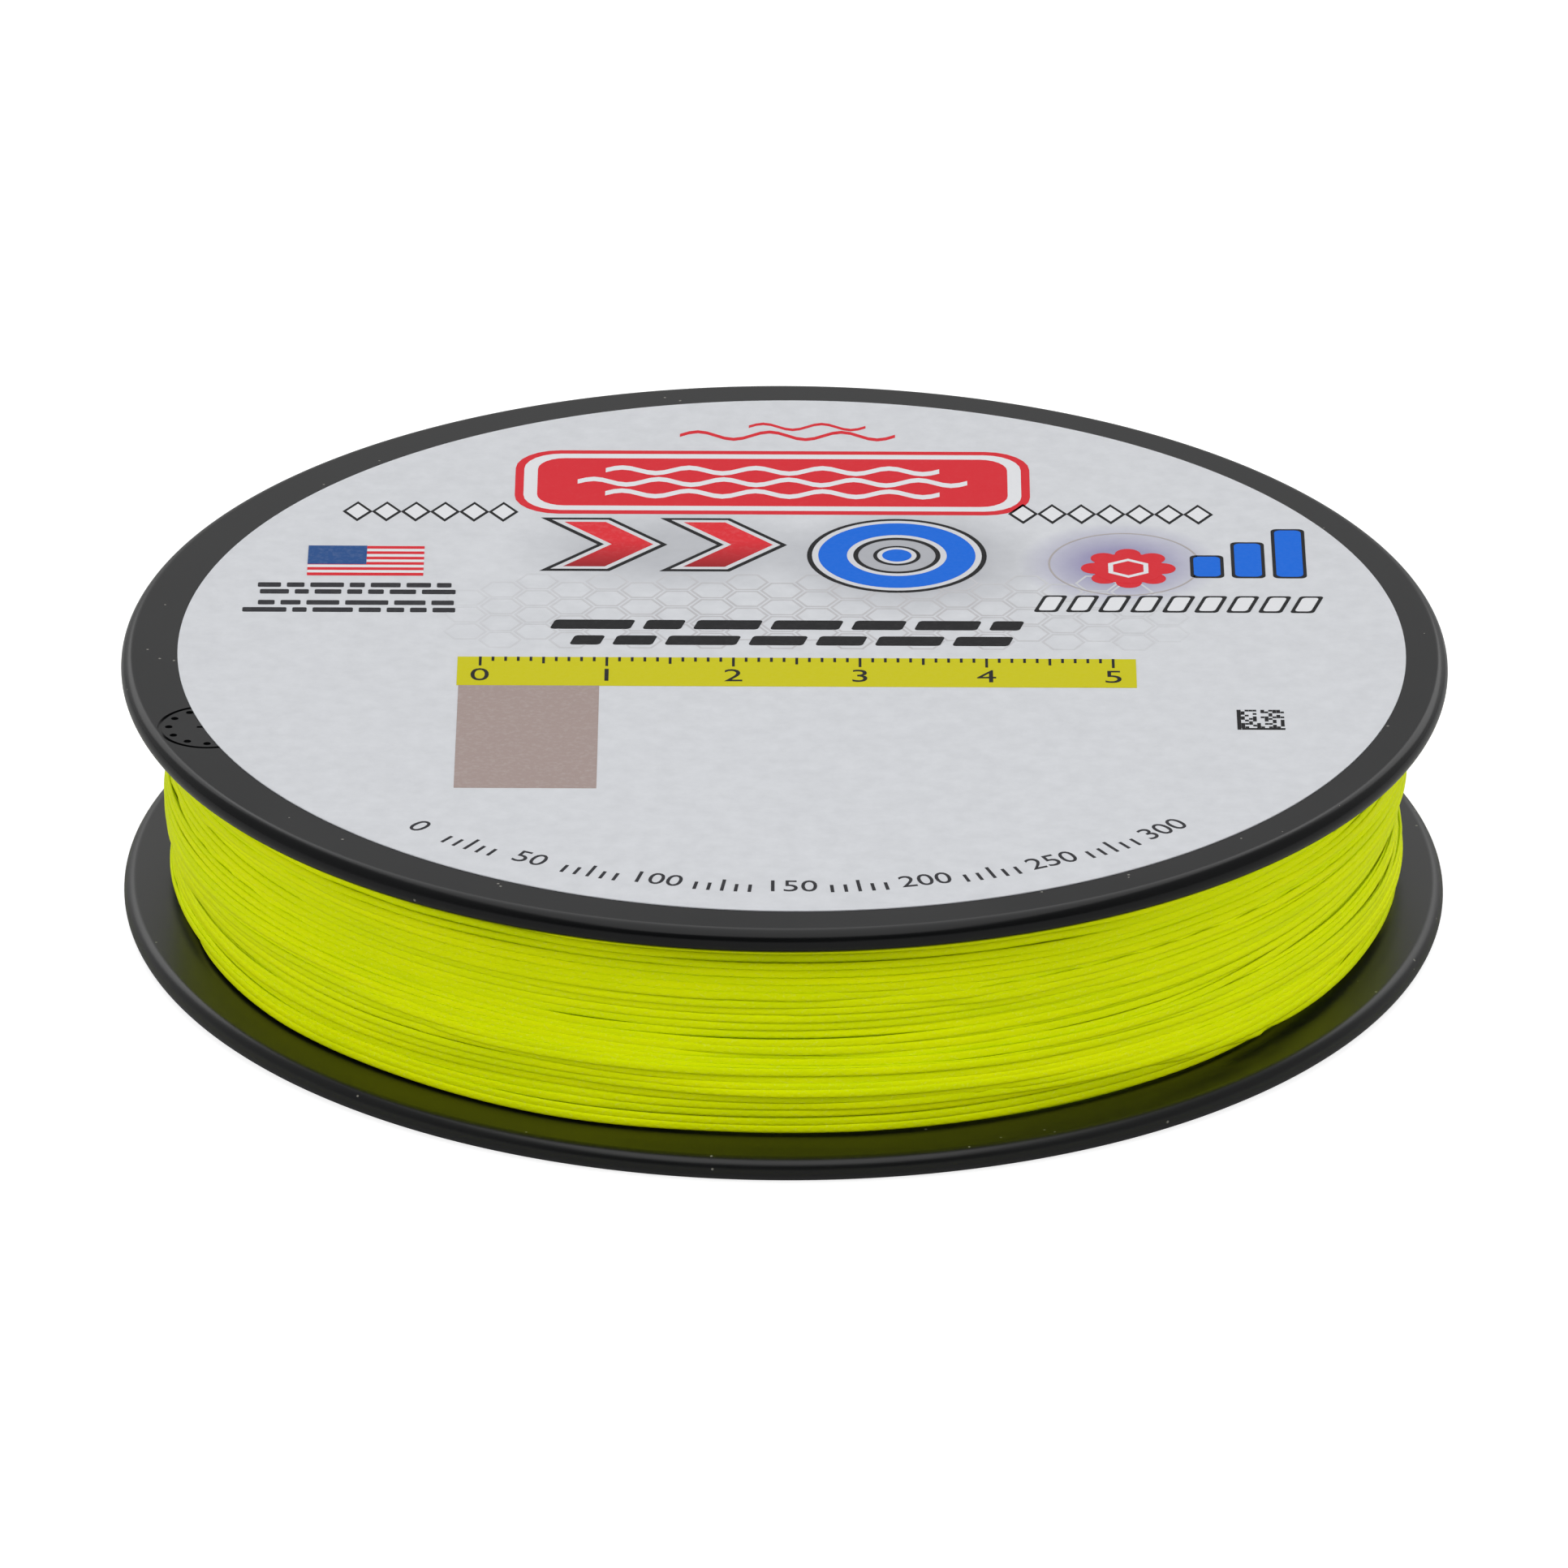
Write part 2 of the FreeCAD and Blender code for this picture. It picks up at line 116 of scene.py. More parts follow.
def node(tree, kind, inputs, **settings):
    """Adds a node with its settings and its inputs."""
    made = tree.nodes.new(kind)
    for name, value in settings.items():
        setattr(made, name, value)
    fill(tree, made, inputs)
    return made


def new_material(name, inputs):
    """A Principled material with these shader values. Returns the material, its tree and its shader."""
    material = bpy.data.materials.new(name)
    material.use_nodes = True
    tree = material.node_tree
    tree.nodes.clear()
    shader = node(tree, "ShaderNodeBsdfPrincipled", inputs)
    node(tree, "ShaderNodeOutputMaterial", {"Surface": shader})
    return material, tree, shader


def moulded_polystyrene(name, roughness, level):
    """Black high-impact polystyrene, injection moulded: a satin skin with a fine eroded grain, slow flow
    marks in its gloss, and the pale dust that static holds on it."""
    material, tree, shader = new_material(name, {"IOR": 1.5, "Specular IOR Level": level})
    place = node(tree, "ShaderNodeTexCoord", {}).outputs["Object"]
    flow = node(tree, "ShaderNodeTexNoise", {"Vector": place, "Scale": 1 / (18 * MM), "Detail": 3})
    skin = node(tree, "ShaderNodeMix", {
        0: flow, 6: colour("#08090a"), 7: colour("#0c0d0e")}, data_type="RGBA")
    gloss = node(tree, "ShaderNodeMapRange", {
        "Value": flow, "From Min": 0.3, "From Max": 0.7,
        "To Min": roughness - 0.03, "To Max": roughness + 0.04})
    grain = node(tree, "ShaderNodeTexNoise", {"Vector": place, "Scale": 1 / (0.16 * MM)})
    bump = node(tree, "ShaderNodeBump", {"Strength": 0.25, "Distance": 0.004 * MM, "Height": grain})

    cells = node(tree, "ShaderNodeTexVoronoi", {"Vector": place, "Scale": 1 / (1.1 * MM)})
    speck = node(tree, "ShaderNodeMath", {0: cells.outputs["Distance"], 1: 0.10}, operation="LESS_THAN")
    lottery = node(tree, "ShaderNodeSeparateColor", {0: cells.outputs["Color"]})
    drift = node(tree, "ShaderNodeTexNoise", {"Vector": place, "Scale": 1 / (9 * MM)})
    crowd = node(tree, "ShaderNodeMapRange", {
        "Value": drift, "From Min": 0.45, "From Max": 0.7, "To Min": 0.03, "To Max": 0.5})
    drawn = node(tree, "ShaderNodeMath", {0: lottery, 1: crowd}, operation="LESS_THAN")
    dust = node(tree, "ShaderNodeMath", {0: speck, 1: drawn}, operation="MULTIPLY")
    thin = node(tree, "ShaderNodeMath", {0: dust, 1: 0.7}, operation="MULTIPLY")
    dusty = node(tree, "ShaderNodeMix", {0: thin, 6: skin, 7: colour("#8c8a82")}, data_type="RGBA")
    fill(tree, shader, {"Base Color": dusty, "Roughness": gloss, "Normal": bump})
    return material


TURN_LENGTH = 2 * math.pi * LINE_CROWN
BRAID_PICK = 0.55 * MM
CARRIERS = 4
DYE_REACH = 14 * MM
DYE_JUMP = 7.31


def braided_polyethylene():
    """Gel-spun polyethylene braid, dyed chartreuse and coated: a low waxy gloss over the small crossing
    crowns of its carriers. The pattern follows the line: U counts turns, V goes once round the line."""
    material, tree, shader = new_material("braided_polyethylene", {"IOR": 1.5, "Specular IOR Level": 0.06})
    unwrapped = node(tree, "ShaderNodeTexCoord", {}).outputs["UV"]
    unwrapped = node(tree, "ShaderNodeSeparateXYZ", {0: unwrapped})
    turn = unwrapped.outputs["X"]
    round_it = unwrapped.outputs["Y"]
    picks = TURN_LENGTH / (2 * BRAID_PICK) * math.tau
    along = node(tree, "ShaderNodeMath", {0: turn, 1: picks}, operation="MULTIPLY")
    around = node(tree, "ShaderNodeMath", {0: round_it, 1: CARRIERS * math.tau}, operation="MULTIPLY")
    crossing = node(tree, "ShaderNodeMath", {0: along, 1: around}, operation="ADD")
    right_hand = node(tree, "ShaderNodeMath", {0: crossing}, operation="SINE")
    crossing = node(tree, "ShaderNodeMath", {0: along, 1: around}, operation="SUBTRACT")
    left_hand = node(tree, "ShaderNodeMath", {0: crossing}, operation="SINE")
    crowns = node(tree, "ShaderNodeMath", {0: right_hand, 1: left_hand}, operation="MAXIMUM")
    bump = node(tree, "ShaderNodeBump", {"Strength": 0.25, "Distance": 0.03 * MM, "Height": crowns})

    # The dye drifts slowly along the line and starts anew on each turn.
    run = node(tree, "ShaderNodeMath", {0: turn, 1: TURN_LENGTH / DYE_REACH}, operation="MULTIPLY")
    count = node(tree, "ShaderNodeMath", {0: turn}, operation="FLOOR")
    jump = node(tree, "ShaderNodeMath", {0: count, 1: DYE_JUMP}, operation="MULTIPLY")
    lane = node(tree, "ShaderNodeCombineXYZ", {"X": run, "Y": jump})
    dye = node(tree, "ShaderNodeTexNoise", {"Vector": lane, "Scale": 1.0, "Detail": 3.0})
    dye = node(tree, "ShaderNodeMapRange", {"Value": dye, "From Min": 0.3, "From Max": 0.7})
    body = node(tree, "ShaderNodeMix", {0: dye, 6: colour("#dcee00"), 7: colour("#ecf800")}, data_type="RGBA")

    # Painted highlights: the crowns are coloured pale in small patches, for the glints of the coating.
    place = node(tree, "ShaderNodeTexCoord", {}).outputs["Object"]
    glint_and_gloss_noise = node(tree, "ShaderNodeTexNoise", {"Vector": place, "Scale": 1 / (0.22 * MM)})
    patch = node(tree, "ShaderNodeMapRange", {"Value": glint_and_gloss_noise, "From Min": 0.52, "From Max": 0.75})
    tops = node(tree, "ShaderNodeMapRange", {"Value": crowns, "From Min": 0.2, "From Max": 1.0})
    painted_glint = node(tree, "ShaderNodeMath", {0: patch, 1: tops}, operation="MULTIPLY")
    painted_glint = node(tree, "ShaderNodeMath", {0: painted_glint, 1: 0.2}, operation="MULTIPLY")
    # The pale crown colour mixed in here is a painted highlight, not wear.
    shown = node(tree, "ShaderNodeMix", {0: painted_glint, 6: body, 7: colour("#f0f48a")}, data_type="RGBA")
    gloss = node(tree, "ShaderNodeMapRange", {
        "Value": glint_and_gloss_noise, "From Min": 0.3, "From Max": 0.7, "To Min": 0.38, "To Max": 0.62})
    fill(tree, shader, {"Base Color": shown, "Roughness": gloss, "Normal": bump})
    return material


def braid_under_layers():
    """The same coated braid deeper in the pack, coloured a darker green as painted shade in the gaps between
    the outer turns, and striped lighter and darker turn by turn as painted shade between the turns.
    """
    material, tree, shader = new_material("braid_under_layers", {"IOR": 1.5, "Roughness": 0.7})
    place = node(tree, "ShaderNodeTexCoord", {}).outputs["Object"]
    height = node(tree, "ShaderNodeSeparateXYZ", {0: place}).outputs["Z"]
    # The stripes are painted shade: darker between the turns, lighter on them.
    turns = node(tree, "ShaderNodeMath", {0: height, 1: math.tau / STRAND_WIDTH}, operation="MULTIPLY")
    turns = node(tree, "ShaderNodeMath", {0: turns}, operation="SINE")
    turns = node(tree, "ShaderNodeMapRange", {"Value": turns, "From Min": -1.0, "From Max": 1.0})
    shown = node(tree, "ShaderNodeMix", {
        0: turns, 6: colour("#b4d000"), 7: colour("#d3ea00")}, data_type="RGBA")
    fill(tree, shader, {"Base Color": shown})
    return material


def tape_film():
    """Cast polypropylene tape, its adhesive gone a little yellow: smooth, with an even half gloss."""
    return new_material("tape_film", {"Base Color": colour("#d8d0b4"), "Roughness": 0.4})[0]


def soft_spot(tree, place, centre, radii):
    """1 at a point of the label and 0 outside an ellipse around it, fading evenly."""
    moved = node(tree, "ShaderNodeMapping", {
        "Vector": place,
        "Location": (-(centre[0] * MM + LABEL_CENTRE.x) / (radii[0] * MM), -centre[1] / radii[1], 0),
        "Scale": (1 / (radii[0] * MM), 1 / (radii[1] * MM), 0)})
    away = node(tree, "ShaderNodeVectorMath", {0: moved}, operation="LENGTH")
    return node(tree, "ShaderNodeMapRange", {"Value": away, "From Min": 1.0, "From Max": 0.35})


def coated_paper(name, depth=0.0):
    """Label stock: pale grey paper under a thin clear film, a little mottled, with a low even gloss.
    depth darkens it towards the middle of the label, for the faint printed pattern there."""
    material, tree, shader = new_material(name, {"IOR": 1.48, "Specular IOR Level": 0.12})
    place = node(tree, "ShaderNodeTexCoord", {}).outputs["Object"]
    mottle = node(tree, "ShaderNodeTexNoise", {
        "Vector": place, "Scale": 1 / (1.5 * MM), "Detail": 4, "Roughness": 0.6})
    patch = node(tree, "ShaderNodeMapRange", {"Value": mottle, "From Min": 0.3, "From Max": 0.7})
    tone = node(tree, "ShaderNodeMix", {
        0: patch, 6: colour("#cbcdd1"), 7: colour("#d3d5d9")}, data_type="RGBA")
    tints = [(PATTERN_MIDDLE, PATTERN_REACH, depth, "#8a7f80")] if depth else SOFT_PRINT
    for centre, radii, strength, tint in tints:
        spot = soft_spot(tree, place, centre, radii)
        spot = node(tree, "ShaderNodeMath", {0: spot, 1: strength}, operation="MULTIPLY")
        tone = node(tree, "ShaderNodeMix", {0: spot, 6: tone, 7: colour(tint)}, data_type="RGBA")
    fibre = node(tree, "ShaderNodeTexNoise", {"Vector": place, "Scale": 1 / (0.3 * MM)})
    gloss = node(tree, "ShaderNodeMapRange", {
        "Value": fibre, "From Min": 0.3, "From Max": 0.7, "To Min": 0.46, "To Max": 0.56})
    bump = node(tree, "ShaderNodeBump", {"Strength": 0.15, "Distance": 0.004 * MM, "Height": mottle})
    fill(tree, shader, {"Base Color": tone, "Roughness": gloss, "Normal": bump})
    return material


def printing_ink(name, code, second=None, speckle=0.06):
    """Offset ink under the label's film: nearly even, with the small dropouts of a fast press. With a
    second colour it darkens to it along Y over the big shapes."""
    material, tree, shader = new_material(name, {"IOR": 1.48, "Specular IOR Level": 0.12})
    place = node(tree, "ShaderNodeTexCoord", {}).outputs["Object"]
    press = node(tree, "ShaderNodeTexNoise", {"Vector": place, "Scale": 1 / (0.35 * MM)})
    bare = node(tree, "ShaderNodeMapRange", {
        "Value": press, "From Min": 0.45, "From Max": 0.8, "To Min": 0.0, "To Max": speckle})
    tone = node(tree, "ShaderNodeMix", {0: bare, 6: colour(code), 7: colour("#f2f2f2")}, data_type="RGBA")
    if second:
        height = node(tree, "ShaderNodeSeparateXYZ", {0: place}).outputs["Y"]
        share = node(tree, "ShaderNodeMapRange", {
            "Value": height, "From Min": GRADIENT_TOP * MM, "From Max": GRADIENT_BOTTOM * MM})
        tone = node(tree, "ShaderNodeMix", {0: share, 6: tone, 7: colour(second)}, data_type="RGBA")
    gloss = node(tree, "ShaderNodeMapRange", {
        "Value": press, "From Min": 0.3, "From Max": 0.7, "To Min": 0.42, "To Max": 0.54})
    fill(tree, shader, {"Base Color": tone, "Roughness": gloss})
    return material


# ---------------------------------------------------------------------------------------------------
# Pieces


def keep_piece(bm, name, material):
    """Turns a finished bmesh into a piece that rides on the spool."""
    mesh = bpy.data.meshes.new(name)
    bm.to_mesh(mesh)
    bm.free()
    return keep_mesh(mesh, name, material)


def keep_mesh(mesh, name, material):
    """Makes a mesh a piece that rides on the spool."""
    mesh.materials.clear()
    mesh.materials.append(material)
    piece = bpy.data.objects.new(name, mesh)
    bpy.context.scene.collection.objects.link(piece)
    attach(piece, BODY)
    return piece


def shade_smooth(mesh):
    """Smooths every face."""
    mesh.polygons.foreach_set("use_smooth", [True] * len(mesh.polygons))


# The two mouldings. Each is a section spun round the axis, with its ribs and marks added or cut.
AROUND = 288
FLANGE = 2.0 * MM
RIM_ROUNDING = 0.98 * MM
BORE = 4.0 * MM
BORE_CHAMFER = 0.5 * MM
NOSE = 5.4 * MM
TUBE = 7.0 * MM
HUB = 37.0 * MM
HUB_INSIDE = 35.2 * MM
PARTING = 10.7 * MM
NOSE_END = 8.7 * MM
RECESS_DEPTH = 6.0 * MM
RECESS_ROUNDING = 0.6 * MM
WEB_TOP = 7.4 * MM
RIB_COUNT = 6
RIB_THICKNESS = 1.4 * MM
RIB_SETBACK = 0.8 * MM
RIB_ROOT = 0.6 * MM
MARK_CIRCLE = 26.0 * MM
MARK_RADIUS = 2.5 * MM
MARK_DEPTH = 0.12 * MM
MARK_SIDES = 50
DIAL_CIRCLE = 47.65 * MM
DIAL_ANGLE = math.radians(198.8)
DIAL_RADIUS = 4.0 * MM
DIAL_LINE = 0.3 * MM
DIAL_TICK = 0.9 * MM
DIAL_TICKS = 12
DIAL_DEPTH = 0.15 * MM


def spin_section(corners):
    """Spins a section. A corner is its radius, its height, and its rounding, with a chamfer's below 0."""
    bm = bmesh.new()
    verts = [bm.verts.new((radius, 0, height)) for radius, height, _ in corners]
    edges = [bm.edges.new((verts[spot - 1], verts[spot])) for spot in range(len(verts))]
    bmesh.ops.edgeloop_fill(bm, edges=edges)
    for vert, (_, _, rounding) in zip(verts, corners):
        if rounding:
            bmesh.ops.bevel(bm, geom=[vert], offset=abs(rounding), segments=12 if rounding > 0 else 1,
                            profile=0.5, affect="VERTICES", material=-1)
    bmesh.ops.delete(bm, geom=bm.faces[:], context="FACES_ONLY")
    bmesh.ops.spin(bm, geom=bm.verts[:] + bm.edges[:], axis=(0, 0, 1), cent=(0, 0, 0), angle=math.tau,
                   steps=AROUND, use_merge=True)
    bmesh.ops.remove_doubles(bm, verts=bm.verts[:], dist=0.0005 * MM)
    bmesh.ops.recalc_face_normals(bm, faces=bm.faces[:])
    return bm


def add_block(bm, low, high, turn=0.0, soft=0.0):
    """A block between two corners, turned about the axis, with softened edges."""
    cube = bmesh.ops.create_cube(bm, size=1)["verts"]
    size = Vector(high) - Vector(low)
    bmesh.ops.scale(bm, verts=cube, vec=size)
    bmesh.ops.translate(bm, verts=cube, vec=(Vector(low) + Vector(high)) / 2)
    bmesh.ops.rotate(bm, verts=cube, matrix=Matrix.Rotation(turn, 3, "Z"))
    if soft:
        edges = list({edge for vert in cube for edge in vert.link_edges})
        bmesh.ops.bevel(bm, geom=edges, offset=soft, segments=3, profile=0.5, affect="EDGES", material=-1)


def add_post(bm, centre, radius, low, high, segments=48):
    """A round post that stands between two heights."""
    place = Matrix.Translation((centre[0], centre[1], (low + high) / 2))
    bmesh.ops.create_cone(bm, cap_ends=True, segments=segments, radius1=radius, radius2=radius,
                          depth=high - low, matrix=place)


def cut_out(bm, cutter):
    """Cuts one closed shape out of another and returns the rest as a bmesh."""
    objects = []
    for name, shape in (("moulding", bm), ("cutter", cutter)):
        mesh = bpy.data.meshes.new(name)
        shape.to_mesh(mesh)
        shape.free()
        objects.append(bpy.data.objects.new(name, mesh))
        bpy.context.scene.collection.objects.link(objects[-1])
    boolean = objects[0].modifiers.new("cut", "BOOLEAN")
    boolean.operation = "DIFFERENCE"
    boolean.solver = "EXACT"
    boolean.use_self = True
    boolean.object = objects[1]
    cut = bpy.data.meshes.new_from_object(objects[0].evaluated_get(bpy.context.evaluated_depsgraph_get()))
    rest = bmesh.new()
    rest.from_mesh(cut)
    for holder in objects:
        mesh = holder.data
        bpy.data.objects.remove(holder)
        bpy.data.meshes.remove(mesh)
    bpy.data.meshes.remove(cut)
    return rest


def keep_moulding(bm, name, material):
    """Smooths the rounded rims, keeps the corners crisp, and stands for the frame's own node."""
    for face in bm.faces:
        face.smooth = True
    for edge in bm.edges:
        edge.smooth = len(edge.link_faces) == 2 and edge.calc_face_angle() < math.radians(25)
    moulding = keep_piece(bm, f"{name}_moulding", material)
    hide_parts(name)


def make_front_half():
    """The front flange with its half of the hub, its bore tube and nose, and the date dial cut in it."""
    top = flange_high.z
    inside = top - FLANGE
    bm = spin_section([
        (BORE, NOSE_END, 0), (NOSE, NOSE_END, 0), (NOSE, PARTING, 0), (TUBE, PARTING, 0), (TUBE, inside, 0),
        (HUB_INSIDE, inside, 0), (HUB_INSIDE, PARTING, 0), (HUB, PARTING, 0), (HUB, inside, 0),
        (RIM_RADIUS, inside, RIM_ROUNDING), (RIM_RADIUS, top, RIM_ROUNDING), (BORE, top, -BORE_CHAMFER)])
    centre = Vector((math.cos(DIAL_ANGLE), math.sin(DIAL_ANGLE), 0)) * DIAL_CIRCLE
    low = top - DIAL_DEPTH
    dial = bmesh.new()
    rims = []
    for radius in (DIAL_RADIUS, DIAL_RADIUS - DIAL_LINE):
        rims += bmesh.ops.create_circle(dial, segments=96, radius=radius)["verts"]
    bmesh.ops.bridge_loops(dial, edges=dial.edges[:])
    bmesh.ops.translate(dial, verts=rims, vec=centre + Vector((0, 0, low)))
    raised = bmesh.ops.extrude_face_region(dial, geom=dial.faces[:], use_keep_orig=True)["geom"]
    raised = [item for item in raised if isinstance(item, bmesh.types.BMVert)]
    bmesh.ops.translate(dial, verts=raised, vec=(0, 0, 2 * DIAL_DEPTH))
    bmesh.ops.recalc_face_normals(dial, faces=dial.faces[:])
    pointer = Vector((DIAL_TICK, DIAL_LINE / 2, DIAL_DEPTH))
    middle = centre + Vector((0, 0, top))
    add_block(dial, middle - pointer, middle + pointer)
    for number in range(DIAL_TICKS):
        angle = math.tau * number / DIAL_TICKS
        reach = DIAL_RADIUS - DIAL_TICK
        spot = centre + reach * Vector((math.cos(angle), math.sin(angle), 0))
        add_post(dial, spot, DIAL_LINE, low, top + DIAL_DEPTH, 16)
    keep_moulding(cut_out(bm, dial), "front_half", moulded_polystyrene("polystyrene_front", 0.22, 0.34))


def make_rear_half():
    """The rear flange with its half of the hub, and the ribbed recess that shows from below."""
    bm = spin_section([
        (BORE, 0, -BORE_CHAMFER), (TUBE, 0, 0), (TUBE, RECESS_DEPTH, 0), (HUB_INSIDE, RECESS_DEPTH, 0),
        (HUB_INSIDE, 0, RECESS_ROUNDING), (RIM_RADIUS, 0, RIM_ROUNDING), (RIM_RADIUS, FLANGE, RIM_ROUNDING),
        (HUB, FLANGE, 0), (HUB, PARTING, 0), (HUB_INSIDE, PARTING, 0), (HUB_INSIDE, WEB_TOP, 0),
        (BORE, WEB_TOP, 0)])
    marks = bmesh.new()
    for number in range(RIB_COUNT):
        angle = math.tau * (number + 0.5) / RIB_COUNT
        spot = (MARK_CIRCLE * math.cos(angle), MARK_CIRCLE * math.sin(angle))
        add_post(marks, spot, MARK_RADIUS, RECESS_DEPTH - MARK_DEPTH, RECESS_DEPTH + MARK_DEPTH, MARK_SIDES)
    bm = cut_out(bm, marks)
    for number in range(RIB_COUNT):
        low = (TUBE - RIB_ROOT, -RIB_THICKNESS / 2, RIB_SETBACK)
        high = (HUB_INSIDE + RIB_ROOT, RIB_THICKNESS / 2, RECESS_DEPTH + RIB_ROOT)
        add_block(bm, low, high, math.tau * number / RIB_COUNT, 0.15 * MM)
    keep_moulding(bm, "rear_half", moulded_polystyrene("polystyrene_rear", 0.32, 0.6))


# The wound line. Each layer is one run of turns across the spool. A height map, kept over the angle
# and the height on the spool, says how far out the turns below reach, and each new turn lies on it.
# The strand is flattened where it is wound. The two drops are how far the pack falls from its crown to
# the flanges. A turn sinks between those below by SUNK of its height and follows their rise and fall by
# FOLLOW of the difference at each step. The map's mean height, averaged over SMOOTHED, is taken off at
# the end, so that only the unevenness of the turns is laid on the pack's own surface.
STRAND_WIDTH = 0.72 * MM
STRAND_HEIGHT = 0.27 * MM
STEPS = 240
SIDES = 10
LAYERS = 4
TURNS = 27
CELL = 0.06 * MM
CELLS = int((LINE_TOP - LINE_BOTTOM) / CELL) + 1
EDGE_ROOM = 0.03 * MM
REAR_DROP = 0.75 * MM
FRONT_DROP = 0.4 * MM
CROWN_SHARE = 0.57
SUNK = 0.22
FOLLOW = 0.35
SMOOTHED = 1.2 * MM
SMOOTHED_ENDS = 0.35 * MM
LAYER_RISE = 1.05
CORE_POINTS = 12
CORE_AROUND = 180


def line_surface(angle, height):
    """The wound line's outer radius: fullest past the middle, falling to both flanges, and uneven."""
    share = (height - LINE_BOTTOM) / (LINE_TOP - LINE_BOTTOM)
    if share < CROWN_SHARE:
        drop = REAR_DROP * (1 - share / CROWN_SHARE) ** 2
    else:
        drop = FRONT_DROP * ((share - CROWN_SHARE) / (1 - CROWN_SHARE)) ** 2
    waves = math.sin(3 * angle + 9 * share + 1.0) + 0.7 * math.sin(7 * angle - 14 * share + 2.2)
    edge = math.exp(-share * 7) * (math.sin(5 * angle + 0.6) + 0.8 * math.sin(11 * angle + 4.0))
    return LINE_CROWN - drop + (0.07 * waves + 0.16 * edge - 0.12) * MM


def lay_turns():
    """Winds the line: for each layer a list of (angle, radius, height) at every step, and the last one
    of a layer is the first of the next."""
    draw = random.Random(20)
    surface = [[0.0] * CELLS for _ in range(STEPS)]
    half_width = STRAND_WIDTH / 2
    reach = int(half_width / CELL)
    bulge = []
    for step in range(-reach, reach + 1):
        bulge.append(STRAND_HEIGHT / 2 * math.sqrt(1 - (step * CELL / half_width) ** 2))
    own = [(rate, 0.035 * MM, draw.uniform(0, math.tau)) for rate in (0.37, 1.63, 2.41, 3.29)]
    radius = 0.0
    layers = []
    for layer in range(LAYERS):
        shared = []
        for _ in range(4):
            rate = draw.choice((1, 2, 3))
            across = draw.uniform(0.4, 1.1) / MM
            size = draw.uniform(0.06, 0.13) * MM
            shared.append((rate, across, size, draw.uniform(0, math.tau)))
        strays = []
        for _ in range(8):
            start = draw.uniform(0, TURNS)
            length = draw.uniform(0.10, 0.32)
            side = draw.choice((-1, 1))
            strays.append((start, length, side * draw.uniform(0.25, 0.6) * MM))
        low = LINE_BOTTOM + half_width + EDGE_ROOM
        high = LINE_TOP - half_width - EDGE_ROOM
        path = []
        for step in range(TURNS * STEPS + 1):
            turn = step / STEPS
            angle = math.tau * turn
            share = turn / TURNS if layer % 2 == 0 else 1 - turn / TURNS
            height = low + (high - low) * share
            calm = min(1.0, (height - LINE_BOTTOM) / (2 * MM), (LINE_TOP - height) / (2 * MM))
            drift = 0.0
            for rate, across, size, phase in shared:
                drift += size * math.sin(rate * angle + across * height + phase)
            for rate, size, phase in own:
                drift += size * math.sin(rate * angle + phase)
            for start, length, size in strays:
                if start < turn < start + length:
                    drift += size * math.sin(math.pi * (turn - start) / length) ** 2
            height = min(high, max(low, height + drift * calm))
            column = surface[step % STEPS]
            cell = int((height - LINE_BOTTOM) / CELL + 0.5)
            first = max(0, cell - reach)
            last = min(CELLS - 1, cell + reach)
            contact = max(column[spot] + bulge[spot - cell + reach] for spot in range(first, last + 1))
            contact -= SUNK * STRAND_HEIGHT
            radius += (contact - radius) * (FOLLOW if path else 1.0)
            for spot in range(first, last + 1):
                column[spot] = max(column[spot], radius + bulge[spot - cell + reach])
            path.append((angle, radius, height))
        layers.append(path)
    means = [sum(column[cell] for column in surface) / STEPS for cell in range(CELLS)]
    around = int(SMOOTHED / CELL)
    ends = int(SMOOTHED_ENDS / CELL)
    levels = []
    for cell in range(CELLS):
        middle = min(max(cell, ends + around), CELLS - 1 - ends - around)
        levels.append(sum(means[middle - around:middle + around + 1]) / (2 * around + 1))
    for path in layers:
        for spot, (angle, depth, height) in enumerate(path):
            level = levels[int((height - LINE_BOTTOM) / CELL)]
            path[spot] = (angle, line_surface(angle, height) + depth - level, height)
    return layers


def plain_turn():
    """One turn of round tube with U along it and V around it. Its vertices hold their step and their
    place round the tube."""
    bm = bmesh.new()
    step_of = bm.verts.layers.int.new("step")
    side_of = bm.verts.layers.int.new("side")
    ring = bmesh.ops.create_circle(bm, segments=SIDES, radius=STRAND_HEIGHT / 2)["verts"]
    for side, vert in enumerate(ring):
        vert[side_of] = side
    bmesh.ops.rotate(bm, verts=ring, matrix=Matrix.Rotation(math.pi / 2, 3, "X"))
    bmesh.ops.translate(bm, verts=ring, vec=(LINE_CROWN, 0, 0))
    rise = STRAND_WIDTH / STEPS
    bmesh.ops.spin(bm, geom=bm.verts[:] + bm.edges[:], axis=(0, 0, 1), cent=(0, 0, 0), dvec=(0, 0, rise),
                   angle=math.tau, steps=STEPS, use_merge=False)
    bm.verts.ensure_lookup_table()
    for number, vert in enumerate(bm.verts):
        vert[step_of] = number // SIDES
    bmesh.ops.recalc_face_normals(bm, faces=bm.faces[:])
    unwrapped = bm.loops.layers.uv.new("UVMap")
    for face in bm.faces:
        sides = {vert[side_of] for vert in face.verts}
        over_seam = 0 in sides and SIDES - 1 in sides
        for corner in face.loops:
            side = corner.vert[side_of]
            side = SIDES if over_seam and side == 0 else side
            corner[unwrapped].uv = (corner.vert[step_of] / STEPS, side / SIDES)
    mesh = bpy.data.meshes.new("plain_turn")
    bm.to_mesh(mesh)
    bm.free()
    return mesh


